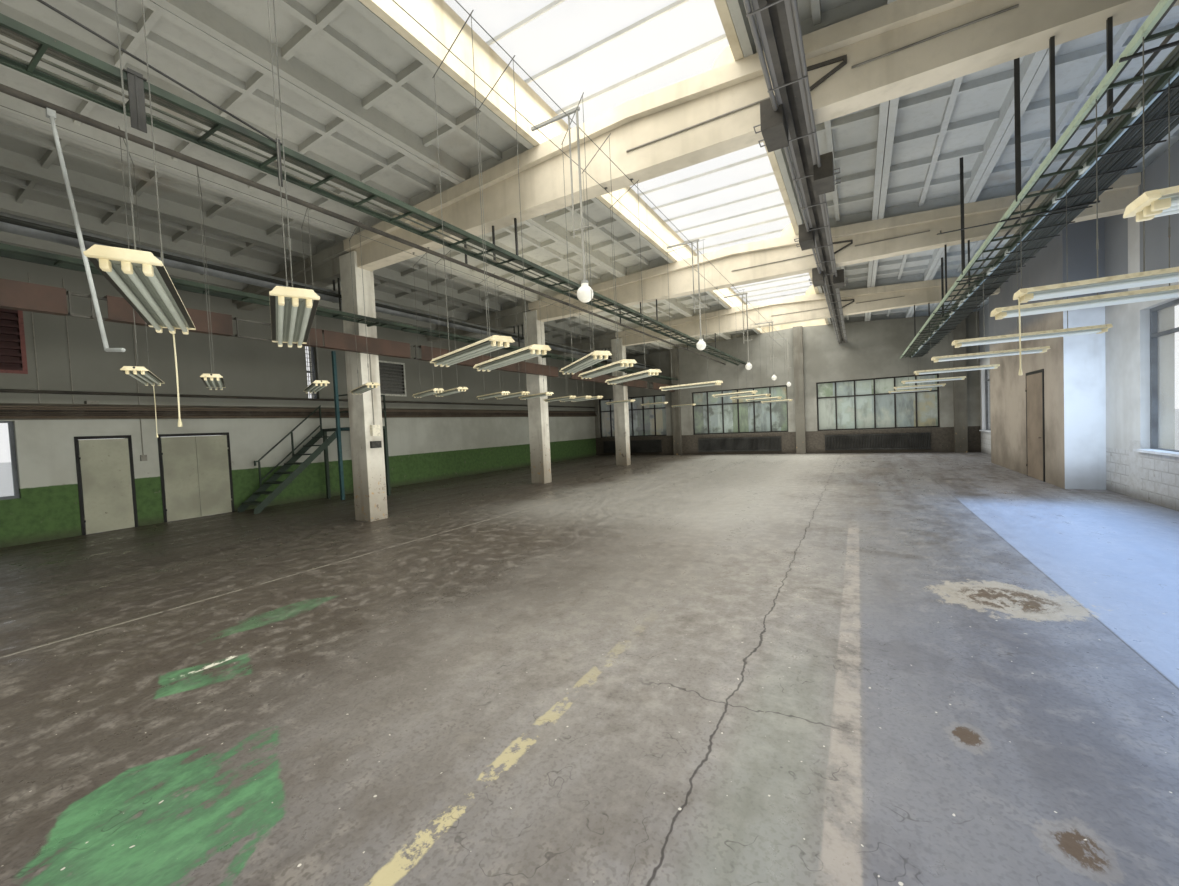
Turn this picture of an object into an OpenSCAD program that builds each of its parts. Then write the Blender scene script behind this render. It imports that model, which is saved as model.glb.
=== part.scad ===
// Single-storey factory hall in precast concrete, with one aisle and a ridge skylight.
// +Y runs along the hall, X across it, +Z up. The origin is the centre of the
// footprint at ground level. The aisle is on the -X side.

/* [Hall] */
// Clear width between the side walls
hall_w = 17750; // [17000:10:19000]
// Length of one bay, from column to column
bay = 6000; // [5800:50:6200]
// Thickness of the outer walls
wall_t = 400; // [350:10:450]
// Thickness of the floor slab
slab_t = 200; // [150:10:300]
// Clear width of the aisle, up to the axis of the column row
aisle_w = 4700; // [4500:50:5000]
// Distance from the column row to the ridge
half_span = 6250; // [6000:50:6400]
// Fall of the roof for each unit of width
roof_fall = 0.05; // [0.03:0.005:0.06]

/* [Frame] */
// Height of the beam soffit above the floor
soffit_h = 5090; // [4900:10:5200]
// Depth of the beams at the ridge
beam_depth = 870; // [800:10:1000]
// Width of the beam web
web_t = 300; // [240:10:340]
// Width of the top flange of a beam
flange_w = 500; // [440:10:560]
// Thickness of the top flange of a beam
flange_t = 200; // [150:10:220]
// Width of a column across the hall
column_w = 500; // [440:10:600]
// Depth of a column along the hall
column_d = 400; // [380:10:480]

/* [Roof] */
// Nominal width of a ribbed roof panel
panel_w = 1500; // [1450:10:1550]
// Overall depth of a ribbed roof panel
panel_h = 300; // [280:10:340]
// Thickness of the plate of a roof panel
plate_t = 50; // [40:5:70]
// Width of the skylight between its curbs
skylight_w = 2800; // [2600:50:3000]
// Height of the skylight glass above the beam top
curb_h = 640; // [560:10:700]
// Distance between two glazing bars
glazing_step = 780; // [700:10:860]

/* [Openings] */
// Sill height of the gable windows
gable_sill = 1050; // [900:10:1200]
// Head height of the gable and side windows
window_head = 3300; // [3100:10:3400]
// Sill height of the right side windows
side_sill = 860; // [800:10:1000]
// Height of the doors in the left wall
door_h = 1920; // [1900:10:2100]
// Height of the porch door
porch_door_h = 2500; // [2300:10:2600]

/* [Hidden] */

bays = 5;
x_left = -hall_w / 2;
x_right = hall_w / 2;
y_end = bay * bays / 2;
ridge_h = soffit_h + beam_depth;
row_x = x_left + aisle_w;
ridge_x = row_x + half_span;
out_left = x_left - wall_t;
out_right = x_right + wall_t;
frame_y = [for (i = [1 : bays - 1]) i * bay - y_end];
sky_left = ridge_x - skylight_w / 2;
sky_right = ridge_x + skylight_w / 2;
curb_t = 100;
joint = 10;
fit = 5;

function floor_z(h) = slab_t + h;
function roof_z(x) = floor_z(ridge_h) - roof_fall * abs(x - ridge_x);

soffit = floor_z(soffit_h);
glass_z = floor_z(ridge_h) + curb_h;

// Doors and windows of the left wall, along the hall
side_door_y = [-6150, -5310];
double_door_y = [-4880, -3520];
south_window_y = [-8080, -6880];
louvre_y = [[-7870, -6670], [700, 1800]];
louvre_z = [[3180, 4500], [3050, 4200]];
tall_window_y = [-1530, -1220];

// The recess of the porch in the right wall
porch_y = [4100, 10200];
porch_x = x_right - 600;
porch_t = 300;
porch_door_y = [5260, 6500];

// Prism along the hall whose top follows the roof
module roof_prism(x0, x1, y0, y1, z0, drop = 0) {
    ridge_inside = x0 < ridge_x && ridge_x < x1;
    outline = concat(
        [[x0, z0], [x1, z0], [x1, roof_z(x1) - drop]],
        ridge_inside ? [[ridge_x, roof_z(ridge_x) - drop]] : [],
        [[x0, roof_z(x0) - drop]]);
    translate([0, y1, 0])
        rotate([90, 0, 0])
            linear_extrude(y1 - y0) polygon(outline);
}

// Box given by its low and high corners
module block(low, high) {
    translate(low) cube(high - low);
}

module floor_slab() {
    color("dimgray")
        block([out_left, -y_end - wall_t, 0], [out_right, y_end + wall_t, slab_t]);
}

// Columns with a fork that holds the beam webs
module interior_columns() {
    cheek_h = 310;
    cheek_t = (column_d - web_t) / 2 - 1;
    color("gainsboro")
        for (y = frame_y) {
            x0 = row_x - column_w / 2;
            x1 = row_x + column_w / 2;
            block([x0, y - column_d / 2, slab_t], [x1, y + column_d / 2, soffit]);
            block([x0, y - column_d / 2, soffit], [x1, y - column_d / 2 + cheek_t, soffit + cheek_h]);
            block([x0, y + column_d / 2 - cheek_t, soffit], [x1, y + column_d / 2, soffit + cheek_h]);
        }
}

module wall_columns() {
    color("gainsboro")
        for (y = frame_y) {
            block([out_left, y - column_d / 2, slab_t], [x_left, y + column_d / 2, soffit]);
            block([x_right, y - column_d / 2, slab_t], [out_right, y + column_d / 2, soffit]);
            for (x = [out_left, x_right])
                beam_pocket(x, x + wall_t, y, column_d / 2, 0);
        }
}

// Masonry on both sides of a beam web, up to drop below the roof
module beam_pocket(x0, x1, y, half, drop) {
    for (side = [-1, 1]) {
        near = y + side * (web_t / 2 + 1);
        far = y + side * half;
        roof_prism(x0, x1, min(near, far), max(near, far), soffit, drop);
    }
}

gable_column_w = 400;
gable_column_d = 250;
gable_column_side = 400;
gable_column_middle = 200;
gable_column_wall = 650;
gable_column_x = [
    row_x + gable_column_side,
    ridge_x + gable_column_middle,
    x_right - gable_column_wall
];

module gable_columns() {
    color("gainsboro")
        for (x = gable_column_x) {
            x0 = x - gable_column_w / 2;
            x1 = x + gable_column_w / 2;
            roof_prism(x0, x1, y_end - gable_column_d, y_end, slab_t);
            roof_prism(x0, x1, -y_end, -y_end + gable_column_d, slab_t);
        }
}

// T section whose top follows the roof and whose soffit is level. Its web enters the wall,
// its flange ends at the wall's face.
module roof_beam(x0, x1, y) {
    roof_prism(x0, x1, y - web_t / 2, y + web_t / 2, soffit);
    difference() {
        roof_prism(max(x0, x_left), min(x1, x_right), y - flange_w / 2, y + flange_w / 2, soffit);
        roof_prism(x0 - 1, x1 + 1, y - flange_w, y + flange_w, soffit - 1, flange_t);
    }
}

module nave_beams() {
    color("antiquewhite")
        for (y = frame_y) roof_beam(row_x + fit, out_right, y);
}

module aisle_beams() {
    color("antiquewhite")
        for (y = frame_y) roof_beam(out_left, row_x - fit, y);
}

// Ribbed panel, its ribs downwards, with x across and y along the ribs
module roof_panel(w, len, cells) {
    edge_rib = 100;
    end_rib = 120;
    mid_rib = 80;
    cross_rib = 60;
    step = 150;
    cell_w = (w - 2 * edge_rib - mid_rib) / 2;
    cell_l = (len - 2 * end_rib - (cells - 1) * cross_rib) / cells;
    difference() {
        cube([w, len, panel_h]);
        translate([edge_rib, end_rib, -1]) cube([w - 2 * edge_rib, len - 2 * end_rib, step + 1]);
        for (side = [0, 1], cell = [0 : cells - 1])
            translate([
                edge_rib + side * (cell_w + mid_rib),
                end_rib + cell * (cell_l + cross_rib),
                step - 1
            ])
                cube([cell_w, cell_l, panel_h - plate_t - step + 1]);
    }
}

slope_angle = atan(roof_fall);
panel_cells = 6;
eave = 300;
left_run = sky_left - curb_t - (out_left - eave);
right_run = out_right + eave - sky_right - curb_t;
left_panels = round(left_run / panel_w);
right_panels = round(right_run / panel_w);

// Row of panels that starts at the skylight and falls to the eaves
module panel_field(side, run, count) {
    start = side < 0 ? sky_left - curb_t : sky_right + curb_t;
    along = run / cos(slope_angle);
    for (i = [0 : bays - 1], k = [0 : count - 1]) {
        first = k * panel_w;
        w = (k == count - 1 ? along - first : panel_w) - joint;
        y0 = i * bay - y_end + (i == 0 ? -wall_t : joint / 2);
        y1 = (i + 1) * bay - y_end + (i == bays - 1 ? wall_t : -joint / 2);
        translate([start, y0, roof_z(start)])
            rotate([0, side < 0 ? 180 - slope_angle : slope_angle, 0])
                mirror([0, 0, side < 0 ? 1 : 0])
                    translate([first + joint / 2, 0, 0]) roof_panel(w, y1 - y0, panel_cells);
    }
}

module roof_panels_left() {
    color("silver") panel_field(-1, left_run, left_panels);
}

module roof_panels_right() {
    color("silver") panel_field(1, right_run, right_panels);
}

covering_t = 40;
lap = 2;
module covering_sheet(side, run) {
    start = side < 0 ? sky_left - curb_t : sky_right + curb_t;
    translate([start, -y_end - wall_t, roof_z(start)])
        rotate([0, side < 0 ? 180 - slope_angle : slope_angle, 0])
            mirror([0, 0, side < 0 ? 1 : 0])
                translate([lap - panel_h * roof_fall, 0, panel_h])
                    cube([
                        run / cos(slope_angle) + panel_h * roof_fall - lap,
                        2 * (y_end + wall_t),
                        covering_t
                    ]);
}

module roof_covering() {
    color("dimgray") {
        covering_sheet(-1, left_run);
        covering_sheet(1, right_run);
    }
}

// Boards along the eaves and up the gables
edge_t = 40;
board_gap = 0.3;
module roof_edge() {
    spread = (panel_h + covering_t) * sin(slope_angle);
    eave_left = out_left - eave - spread - board_gap;
    eave_right = out_right + eave + spread + board_gap;
    y1 = y_end + wall_t;
    rise = (panel_h + covering_t) / cos(slope_angle);
    lip = 20;
    color("gray") {
        block([eave_left - edge_t, -y1 - edge_t, roof_z(eave_left) - lip],
            [eave_left, y1 + edge_t, roof_z(eave_left) + rise + lip]);
        block([eave_right, -y1 - edge_t, roof_z(eave_right) - lip],
            [eave_right + edge_t, y1 + edge_t, roof_z(eave_right) + rise + lip]);
        for (y = [-y1 - edge_t, y1]) {
            verge_board(eave_left, sky_left - curb_t, y, rise);
            verge_board(sky_right + curb_t, eave_right, y, rise);
        }
    }
}

module verge_board(x0, x1, y, rise) {
    difference() {
        roof_prism(x0, x1, y, y + edge_t, soffit, -rise);
        roof_prism(x0 - 1, x1 + 1, y - 1, y + edge_t + 1, soffit - 1);
    }
}

// Upstands of the skylight, with a rounded bracket on each beam and a board at each end
module skylight_curbs() {
    y1 = y_end + wall_t;
    bracket = 350;
    bracket_t = 120;
    foot = roof_z(sky_right - bracket);
    color("antiquewhite") {
        block([sky_left - curb_t + 1, -y1, roof_z(sky_left)], [sky_left, y1, glass_z]);
        block([sky_right, -y1, roof_z(sky_right)], [sky_right + curb_t - 1, y1, glass_z]);
        for (y = frame_y)
            intersection() {
                translate([sky_right, y, foot])
                    rotate([90, 0, 0])
                        cylinder(h = bracket_t, r = bracket, center = true);
                block([sky_right - bracket, y - bracket_t, foot], [sky_right, y + bracket_t, glass_z]);
            }
        for (y = [-y1, y1 - curb_t])
            difference() {
                block([sky_left, y, soffit], [sky_right, y + curb_t, glass_z]);
                roof_prism(sky_left - 1, sky_right + 1, y - 1, y + curb_t + 1, soffit - 1);
            }
    }
}

glazing_bar_w = 20;
glazing_bar_h = 50;
glazing_start = 570;

module skylight_bars() {
    count = floor((2 * y_end - glazing_start) / glazing_step);
    color("dimgray") {
        for (k = [0 : count]) {
            y = -y_end + glazing_start + k * glazing_step;
            block([sky_left - curb_t + 1, y - glazing_bar_w / 2, glass_z],
                [sky_right + curb_t - 1, y + glazing_bar_w / 2, glass_z + glazing_bar_h]);
        }
        for (y = [-y_end - wall_t, y_end + wall_t - glazing_bar_w])
            block([sky_left - curb_t + 1, y, glass_z],
                [sky_right + curb_t - 1, y + glazing_bar_w, glass_z + glazing_bar_h]);
    }
}

module skylight_glass() {
    color("lightcyan", 0.4)
        block([sky_left - curb_t + 1, -y_end - wall_t, glass_z + glazing_bar_h],
            [sky_right + curb_t - 1, y_end + wall_t, glass_z + glazing_bar_h + 10]);
}

// Windows of a gable, as pairs of edges across the hall
window_margin = 250;
pier_after_row = 1200;
pier_before_ridge = 350;
pier_after_ridge = 900;
pier_at_right = 1300;
gable_windows = [
    [x_left + window_margin, row_x - window_margin],
    [row_x + pier_after_row, ridge_x - pier_before_ridge],
    [ridge_x + pier_after_ridge, x_right - pier_at_right]
];

module gable_wall(y0) {
    difference() {
        roof_prism(out_left, out_right, y0, y0 + wall_t, slab_t);
        for (w = gable_windows)
            block([w[0], y0 - 1, floor_z(gable_sill)], [w[1], y0 + wall_t + 1, floor_z(window_head)]);
    }
}

module far_gable_wall() {
    color("lightgray") gable_wall(y_end);
}

module near_gable_wall() {
    color("lightgray") gable_wall(-y_end - wall_t);
}

function bay_start(i) = i == 0 ? -y_end : frame_y[i - 1] + column_d / 2;
function bay_end(i) = i == bays - 1 ? y_end : frame_y[i] - column_d / 2;

module left_wall_block(y0, y1, z0 = 0) {
    roof_prism(out_left, x_left, y0, y1, floor_z(z0));
}

left_window_z = [860, 2300];
tall_window_z = [2840, 4460];

module left_wall_hole(y, z) {
    block([out_left - 1, y[0], floor_z(z[0])], [x_left + 1, y[1], floor_z(z[1])]);
}

module left_wall_south() {
    color("gainsboro") {
        left_wall_block(bay_start(0), bay_end(0));
        difference() {
            left_wall_block(bay_start(1), side_door_y[0]);
            left_wall_hole(south_window_y, left_window_z);
            left_wall_hole(louvre_y[0], louvre_z[0]);
        }
    }
}

module left_wall_north() {
    color("gainsboro") {
        left_wall_block(double_door_y[1], bay_end(1));
        difference() {
            left_wall_block(bay_start(2), bay_end(2));
            left_wall_hole(tall_window_y, tall_window_z);
            left_wall_hole(louvre_y[1], louvre_z[1]);
        }
        left_wall_block(bay_start(3), bay_end(3));
        left_wall_block(bay_start(4), bay_end(4));
    }
}

door_head = door_h + 60;
module left_wall_over_doors() {
    color("gainsboro") {
        left_wall_block(side_door_y[0], double_door_y[1], door_head);
        block([out_left, side_door_y[1], slab_t], [x_left, double_door_y[0], floor_z(door_head)]);
    }
}

// Window bays of the right wall, then the plain part up to the porch
side_windows = [
    [bay_start(0) + window_margin, bay_end(0)],
    [bay_start(1), bay_end(1)],
    [bay_start(2), bay_end(2)],
    [porch_y[1] + window_margin, y_end - window_margin]
];

module right_wall() {
    color("gainsboro")
        for (i = [0 : bays - 1]) {
            y0 = i == 4 ? porch_y[1] : bay_start(i);
            y1 = i == 3 ? porch_y[0] : bay_end(i);
            difference() {
                roof_prism(x_right, out_right, y0, y1, slab_t);
                for (w = side_windows)
                    block([x_right - 1, w[0], floor_z(side_sill)],
                        [out_right + 1, w[1], floor_z(window_head)]);
            }
        }
}

porch_head = porch_door_h + 60;
module porch_walls() {
    color("tan") {
        roof_prism(porch_x, out_right, porch_y[0], porch_y[0] + porch_t, slab_t);
        roof_prism(porch_x, out_right, porch_y[1] - porch_t, porch_y[1], slab_t);
        roof_prism(porch_x, porch_x + porch_t, porch_y[0] + porch_t, porch_door_y[0], slab_t);
        block([porch_x, porch_door_y[1], slab_t],
            [porch_x + porch_t, porch_y[1] - porch_t, soffit]);
        roof_prism(porch_x, porch_x + porch_t, porch_door_y[1], frame_y[3] - flange_w / 2, soffit);
        roof_prism(porch_x, porch_x + porch_t, frame_y[3] + flange_w / 2, porch_y[1] - porch_t, soffit);
        beam_pocket(porch_x, porch_x + porch_t, frame_y[3], flange_w / 2, flange_t + 1);
    }
}

module porch_wall_over_door() {
    color("tan")
        roof_prism(porch_x, porch_x + porch_t, porch_door_y[0], porch_door_y[1],
            floor_z(porch_head));
}

// Frame of bars round and between the panes, in its own x and z plane
module window_frame(w, h, columns, transom, t) {
    bar = 55;
    rows = transom > 0 ? [[0, transom], [transom, h]] : [[0, h]];
    pane = (w - bar) / columns;
    rotate([90, 0, 0])
        linear_extrude(t, center = true)
            difference() {
                square([w, h]);
                for (k = [0 : columns - 1], r = rows)
                    translate([bar + k * pane, r[0] + (r[0] == 0 ? bar : bar / 2)])
                        square([pane - bar, r[1] - r[0] - bar * 1.5]);
            }
}

frame_t = 70;
gable_h = window_head - gable_sill;
gable_transom = 1530;
side_h = window_head - side_sill;
side_transom = 1970;

module window_frames_gable() {
    color("dimgray")
        for (side = [-1, 1], w = gable_windows)
            translate([w[0], side * (y_end + wall_t / 2), floor_z(gable_sill)])
                window_frame(w[1] - w[0], gable_h, 6, gable_transom, frame_t);
}

glass_t = 10;
module window_glass_gable() {
    color("lightcyan", 0.4)
        for (side = [-1, 1], w = gable_windows) {
            y = side * (y_end + wall_t / 2 + frame_t / 2 + glass_t / 2);
            block([w[0], y - glass_t / 2, floor_z(gable_sill)],
                [w[1], y + glass_t / 2, floor_z(window_head)]);
        }
}

right_glass_x = x_right + 150;
left_glass_x = x_left - 150;

module turned_frame(x, y, z, w, h, columns, transom) {
    translate([x, y, floor_z(z)])
        rotate([0, 0, 90])
            window_frame(w, h, columns, transom, frame_t);
}

module window_frames_side() {
    color("dimgray") {
        for (w = side_windows)
            turned_frame(right_glass_x, w[0], side_sill, w[1] - w[0], side_h,
                round((w[1] - w[0]) / 880), side_transom);
        turned_frame(left_glass_x, south_window_y[0], left_window_z[0],
            south_window_y[1] - south_window_y[0], left_window_z[1] - left_window_z[0], 2, 0);
        turned_frame(left_glass_x, tall_window_y[0], tall_window_z[0],
            tall_window_y[1] - tall_window_y[0], tall_window_z[1] - tall_window_z[0], 1, 820);
    }
}

module wall_sheet(x, y, z) {
    block([x, y[0], floor_z(z[0])], [x + glass_t, y[1], floor_z(z[1])]);
}

module window_glass_side() {
    color("lightcyan", 0.4) {
        for (w = side_windows)
            wall_sheet(right_glass_x + frame_t / 2, w, [side_sill, window_head]);
        wall_sheet(left_glass_x - frame_t / 2 - glass_t, south_window_y, left_window_z);
        wall_sheet(left_glass_x - frame_t / 2 - glass_t, tall_window_y, tall_window_z);
    }
}

// Boards on the inner sills of the right side windows
module window_sills() {
    board_t = 40;
    nose = 90;
    color("white")
        for (w = side_windows)
            block([x_right - nose, w[0] + 5, floor_z(side_sill)],
                [right_glass_x - frame_t / 2, w[1] - 5, floor_z(side_sill) + board_t]);
}

// Slatted louvres high in the left wall, each with a closed back
module wall_louvre(y, z) {
    h = z[1] - z[0];
    w = y[1] - y[0];
    rim = 60;
    slats = 9;
    back_t = 10;
    pitch = (h - 2 * rim) / slats;
    translate([x_left - 120, y[0], floor_z(z[0])]) {
        difference() {
            cube([120, w, h]);
            translate([-1, rim, rim]) cube([122, w - 2 * rim, h - 2 * rim]);
        }
        translate([0, rim - 5, rim - 5]) cube([back_t, w - 2 * rim + 10, h - 2 * rim + 10]);
        for (k = [0 : slats - 1])
            translate([back_t, rim - 5, rim + k * pitch])
                cube([100, w - 2 * rim + 10, pitch * 0.4]);
    }
}

module wall_louvres() {
    color("saddlebrown")
        for (i = [0 : len(louvre_y) - 1]) wall_louvre(louvre_y[i], louvre_z[i]);
}

leaf_gap = 8;
leaf_t = 45;
jamb = 50;
frame_nose = 20;
frame_depth = 170;
left_front = x_left + frame_nose;
porch_front = porch_x - frame_nose;
knuckle_r = 10;
knuckle_h = 45;
knuckle_gap = 0.3;
flap_t = 4;
flap_w = 30;
hinge_low = 250;
hinge_inset = 400;

// Half of a lift-off hinge. Its pin stands just ahead of the front faces of leaf and frame.
// dir is the side to which the leaf opens, side the way that it runs from the hinge.
module hinge_half(front, edge, dir, side, h, moving) {
    for (z = [hinge_low, h - hinge_inset])
        translate([front, edge, floor_z(z) + (moving ? knuckle_h + knuckle_gap : 0)])
            mirror([dir < 0 ? 1 : 0, 0, 0])
                mirror([0, side < 0 ? 1 : 0, 0]) {
                    translate([knuckle_r + 1, -leaf_gap / 2, 0])
                        cylinder(h = knuckle_h, r = knuckle_r, $fn = 24);
                    translate([0, moving ? -leaf_gap / 2 : -leaf_gap / 2 - flap_w, 0])
                        cube([flap_t, flap_w, knuckle_h]);
                }
}

// Frame round a doorway, from its front face backwards
module door_frame(front, dir, y, h) {
    back = front - dir * frame_depth;
    x0 = min(front, back);
    x1 = max(front, back);
    difference() {
        block([x0, y[0], slab_t], [x1, y[1], floor_z(h + 60)]);
        block([x0 - 1, y[0] + jamb, slab_t - 1], [x1 + 1, y[1] - jamb, floor_z(h)]);
    }
}

side_leaf = [side_door_y[0] + jamb + leaf_gap, side_door_y[1] - jamb - leaf_gap];
double_leaf = [double_door_y[0] + jamb + leaf_gap, double_door_y[1] - jamb - leaf_gap];
porch_leaf = [porch_door_y[0] + jamb + leaf_gap, porch_door_y[1] - jamb - leaf_gap];
double_middle = (double_door_y[0] + double_door_y[1]) / 2;

module door_frames() {
    color("black") {
        door_frame(left_front, 1, side_door_y, door_h);
        hinge_half(left_front, side_leaf[0], 1, 1, door_h, false);
        door_frame(left_front, 1, double_door_y, door_h);
        hinge_half(left_front, double_leaf[0], 1, 1, door_h, false);
        hinge_half(left_front, double_leaf[1], 1, -1, door_h, false);
        door_frame(porch_front, -1, porch_door_y, porch_door_h);
        hinge_half(porch_front, porch_leaf[1], -1, -1, porch_door_h, false);
    }
}

// Leaf from its hinged edge to its free edge, with a lever handle near the free edge
module door_leaf(front, dir, hinged, free, h) {
    side = sign(free - hinged);
    z0 = slab_t + leaf_gap;
    z1 = floor_z(h) - leaf_gap;
    handle_z = floor_z(1000);
    handle_y = free - side * 110;
    translate([front, 0, 0])
        mirror([dir < 0 ? 1 : 0, 0, 0]) {
            block([-leaf_t, min(hinged, free), z0], [0, max(hinged, free), z1]);
            block([0, handle_y - 15, handle_z - 15], [45, handle_y + 15, handle_z + 15]);
            block([45, handle_y - 60, handle_z - 12], [60, handle_y + 60, handle_z + 12]);
        }
    hinge_half(front, hinged, dir, side, h, true);
}

module side_door() {
    color("darkgray") door_leaf(left_front, 1, side_leaf[0], side_leaf[1], door_h);
}

module double_door_left_leaf() {
    color("darkgray")
        door_leaf(left_front, 1, double_leaf[0], double_middle - leaf_gap / 2, door_h);
}

module double_door_right_leaf() {
    color("darkgray")
        door_leaf(left_front, 1, double_leaf[1], double_middle + leaf_gap / 2, door_h);
}

module porch_door() {
    color("darkkhaki") door_leaf(porch_front, -1, porch_leaf[1], porch_leaf[0], porch_door_h);
}

// Trunking on the column row: sheet casings over two rails, with open lengths between them
trunk_z = [3390, 3700];
trunk_w = 150;
trunk_t = 6;
trunk_rail = 30;
trunk_gaps = [
    [-7190, -6830], [-5440, -4450], [-4030, -4000], [-2120, -1820], [3650, 4460], [8200, 8500],
    [11000, 11700]
];
trunk_bracket_gap = 200;
trunk_end = y_end - gable_column_d;

module row_trunking() {
    x0 = row_x + column_w / 2;
    z0 = floor_z(trunk_z[0]);
    z1 = floor_z(trunk_z[1]);
    starts = concat([-trunk_end], [for (g = trunk_gaps) g[1]]);
    ends = concat([for (g = trunk_gaps) g[0]], [trunk_end]);
    color("saddlebrown")
        for (i = [0 : len(starts) - 1])
            difference() {
                block([x0, starts[i], z0], [x0 + trunk_w, ends[i], z1]);
                block([x0 - 1, starts[i] - 1, z0 + trunk_t],
                    [x0 + trunk_w - trunk_t, ends[i] + 1, z1 - trunk_t]);
            }
}

// Two rails inside the casings, tied by brackets in each open length
module trunking_rails() {
    x0 = row_x + column_w / 2;
    low = floor_z(trunk_z[0]) + trunk_t;
    high = floor_z(trunk_z[1]) - trunk_t;
    bracket_w = 110;
    bracket_t = 20;
    color("gainsboro") {
        for (z = [low, high - trunk_rail])
            block([x0, -trunk_end, z], [x0 + trunk_rail, trunk_end, z + trunk_rail]);
        for (g = trunk_gaps, share = [0.08, 0.62])
            if (g[1] - g[0] > trunk_bracket_gap)
                translate([0, g[0] + share * (g[1] - g[0]), 0])
                    difference() {
                        block([x0, 0, low], [x0 + bracket_w, bracket_t, high]);
                        block([x0 - 1, -1, low + trunk_rail],
                            [x0 + bracket_w - bracket_t, bracket_t + 1, high - trunk_rail]);
                    }
    }
}

// Ladder for cables, with rails along the hall
module cable_ladder(x0, x1, h) {
    rail_w = 30;
    rail_h = 60;
    rung = 24;
    rung_step = 500;
    z = floor_z(h);
    for (x = [x0, x1 - rail_w])
        block([x, -y_end, z], [x + rail_w, y_end, z + rail_h]);
    for (k = [1 : floor(2 * y_end / rung_step) - 1]) {
        y = -y_end + k * rung_step;
        block([x0 + rail_w - 2, y, z + 10], [x1 - rail_w + 2, y + rung, z + 10 + rung]);
    }
}

left_ladder_w = 500;
left_ladder_off = 3650;
left_ladder_drop = 650;
right_ladder_w = 400;
right_ladder_off = 2250;
right_ladder_drop = 1070;
left_ladder_x = [row_x + left_ladder_off, row_x + left_ladder_off + left_ladder_w];
left_ladder_h = soffit_h - left_ladder_drop;
right_ladder_x = [x_right - right_ladder_off - right_ladder_w, x_right - right_ladder_off];
right_ladder_h = soffit_h - right_ladder_drop;

module cable_ladder_left() {
    color("darkslategray") cable_ladder(left_ladder_x[0], left_ladder_x[1], left_ladder_h);
}

module cable_ladder_right() {
    color("darkseagreen") cable_ladder(right_ladder_x[0], right_ladder_x[1], right_ladder_h);
}

pipe_off = 3030;
pipe_drop = 510;
pipe_r = 30;
pipe_x = row_x + pipe_off;
pipe_h = soffit_h - pipe_drop;
duct_off = 800;
duct_drop = 360;
duct_r = 120;
duct_x = row_x - duct_off;
duct_h = soffit_h - duct_drop;

// Bars that hang the ladders, the pipe and the duct from the beams
module service_hangers() {
    bar = 30;
    half = bar / 2;
    color("dimgray")
        for (y = frame_y) {
            for (x = concat(left_ladder_x + [half, -half], right_ladder_x + [half, -half])) {
                low = x < ridge_x ? left_ladder_h : right_ladder_h;
                block([x - half, y - half, floor_z(low + 60)], [x + half, y + half, soffit]);
            }
            block([pipe_x - half, y - half, floor_z(pipe_h + pipe_r)], [pipe_x + half, y + half, soffit]);
            block([duct_x - half, y - half, floor_z(duct_h + duct_r)], [duct_x + half, y + half, soffit]);
        }
}

busbar_off = 2030;
busbar_x = ridge_x + busbar_off;
busbar_w = 180;
busbar_h = 110;
tap_boxes = [[-1, -3400], [1, -1900], [-1, 300], [-1, 3100], [1, 3600]];

// Slotted channel under the beams, with boxes that take power off on both sides
module busbar() {
    sheet = 8;
    slot = 60;
    box_w = 220;
    box_l = 480;
    box_h = 300;
    low = soffit - busbar_h;
    color("dimgray") {
        difference() {
            block([busbar_x - busbar_w / 2, -y_end, low], [busbar_x + busbar_w / 2, y_end, soffit]);
            block([busbar_x - busbar_w / 2 + sheet, -y_end - 1, low + sheet],
                [busbar_x + busbar_w / 2 - sheet, y_end + 1, soffit - sheet]);
            translate([busbar_x - slot / 2, -y_end - 1, low - 1])
                cube([slot, 2 * y_end + 2, sheet + 2]);
        }
        for (b = tap_boxes)
            translate([busbar_x + b[0] * (busbar_w + box_w) / 2, b[1], soffit - sheet - box_h / 2])
                cube([box_w, box_l, box_h], center = true);
        for (y = frame_y) busbar_bracket(y - web_t / 2);
    }
}

// Triangular bracket on the near face of a beam, with a flat bar down to the channel
module busbar_bracket(face) {
    bracket_t = 25;
    arm = 500;
    high = 480;
    tip = 120;
    rim = 35;
    outline = [[0, 150], [0, high], [arm, high - 40], [arm, high - tip]];
    translate([busbar_x, face, soffit])
        rotate([90, 0, 0])
            linear_extrude(bracket_t)
                difference() {
                    union() {
                        polygon(outline);
                        square([rim, high]);
                    }
                    offset(delta = -rim) polygon(outline);
                }
}

tray_z = [2320, 2620];
module wall_cable_tray() {
    depth = 180;
    lip = 20;
    z0 = floor_z(tray_z[0]);
    z1 = floor_z(tray_z[1]);
    color("darkslategray")
        difference() {
            block([x_left, -y_end, z0], [x_left + depth, y_end, z1]);
            block([x_left + lip, -y_end - 1, z0 + lip], [x_left + depth + 1, y_end + 1, z1 - lip]);
        }
}

module along_hall(x, h, r, reach = y_end) {
    translate([x, 0, floor_z(h)])
        rotate([90, 0, 0])
            cylinder(h = 2 * reach, r = r, center = true, $fn = 24);
}

module air_duct() {
    color("silver") along_hall(duct_x, duct_h, duct_r);
}

wall_pipe_r = 30;
wall_pipe_h = 2850;
wall_pipe_off = 25;
module pipes() {
    clip = 20;
    h = floor_z(wall_pipe_h);
    color("darkslategray") {
        along_hall(pipe_x, pipe_h, pipe_r);
        along_hall(x_left + wall_pipe_off + wall_pipe_r, wall_pipe_h, wall_pipe_r);
        for (k = [0 : bays], end = [0.1, 0.9])
            if (k < bays)
                translate([x_left, (k + end) * bay - y_end, h - clip / 2])
                    cube([wall_pipe_off + clip / 2, clip, clip]);
    }
}

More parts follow.
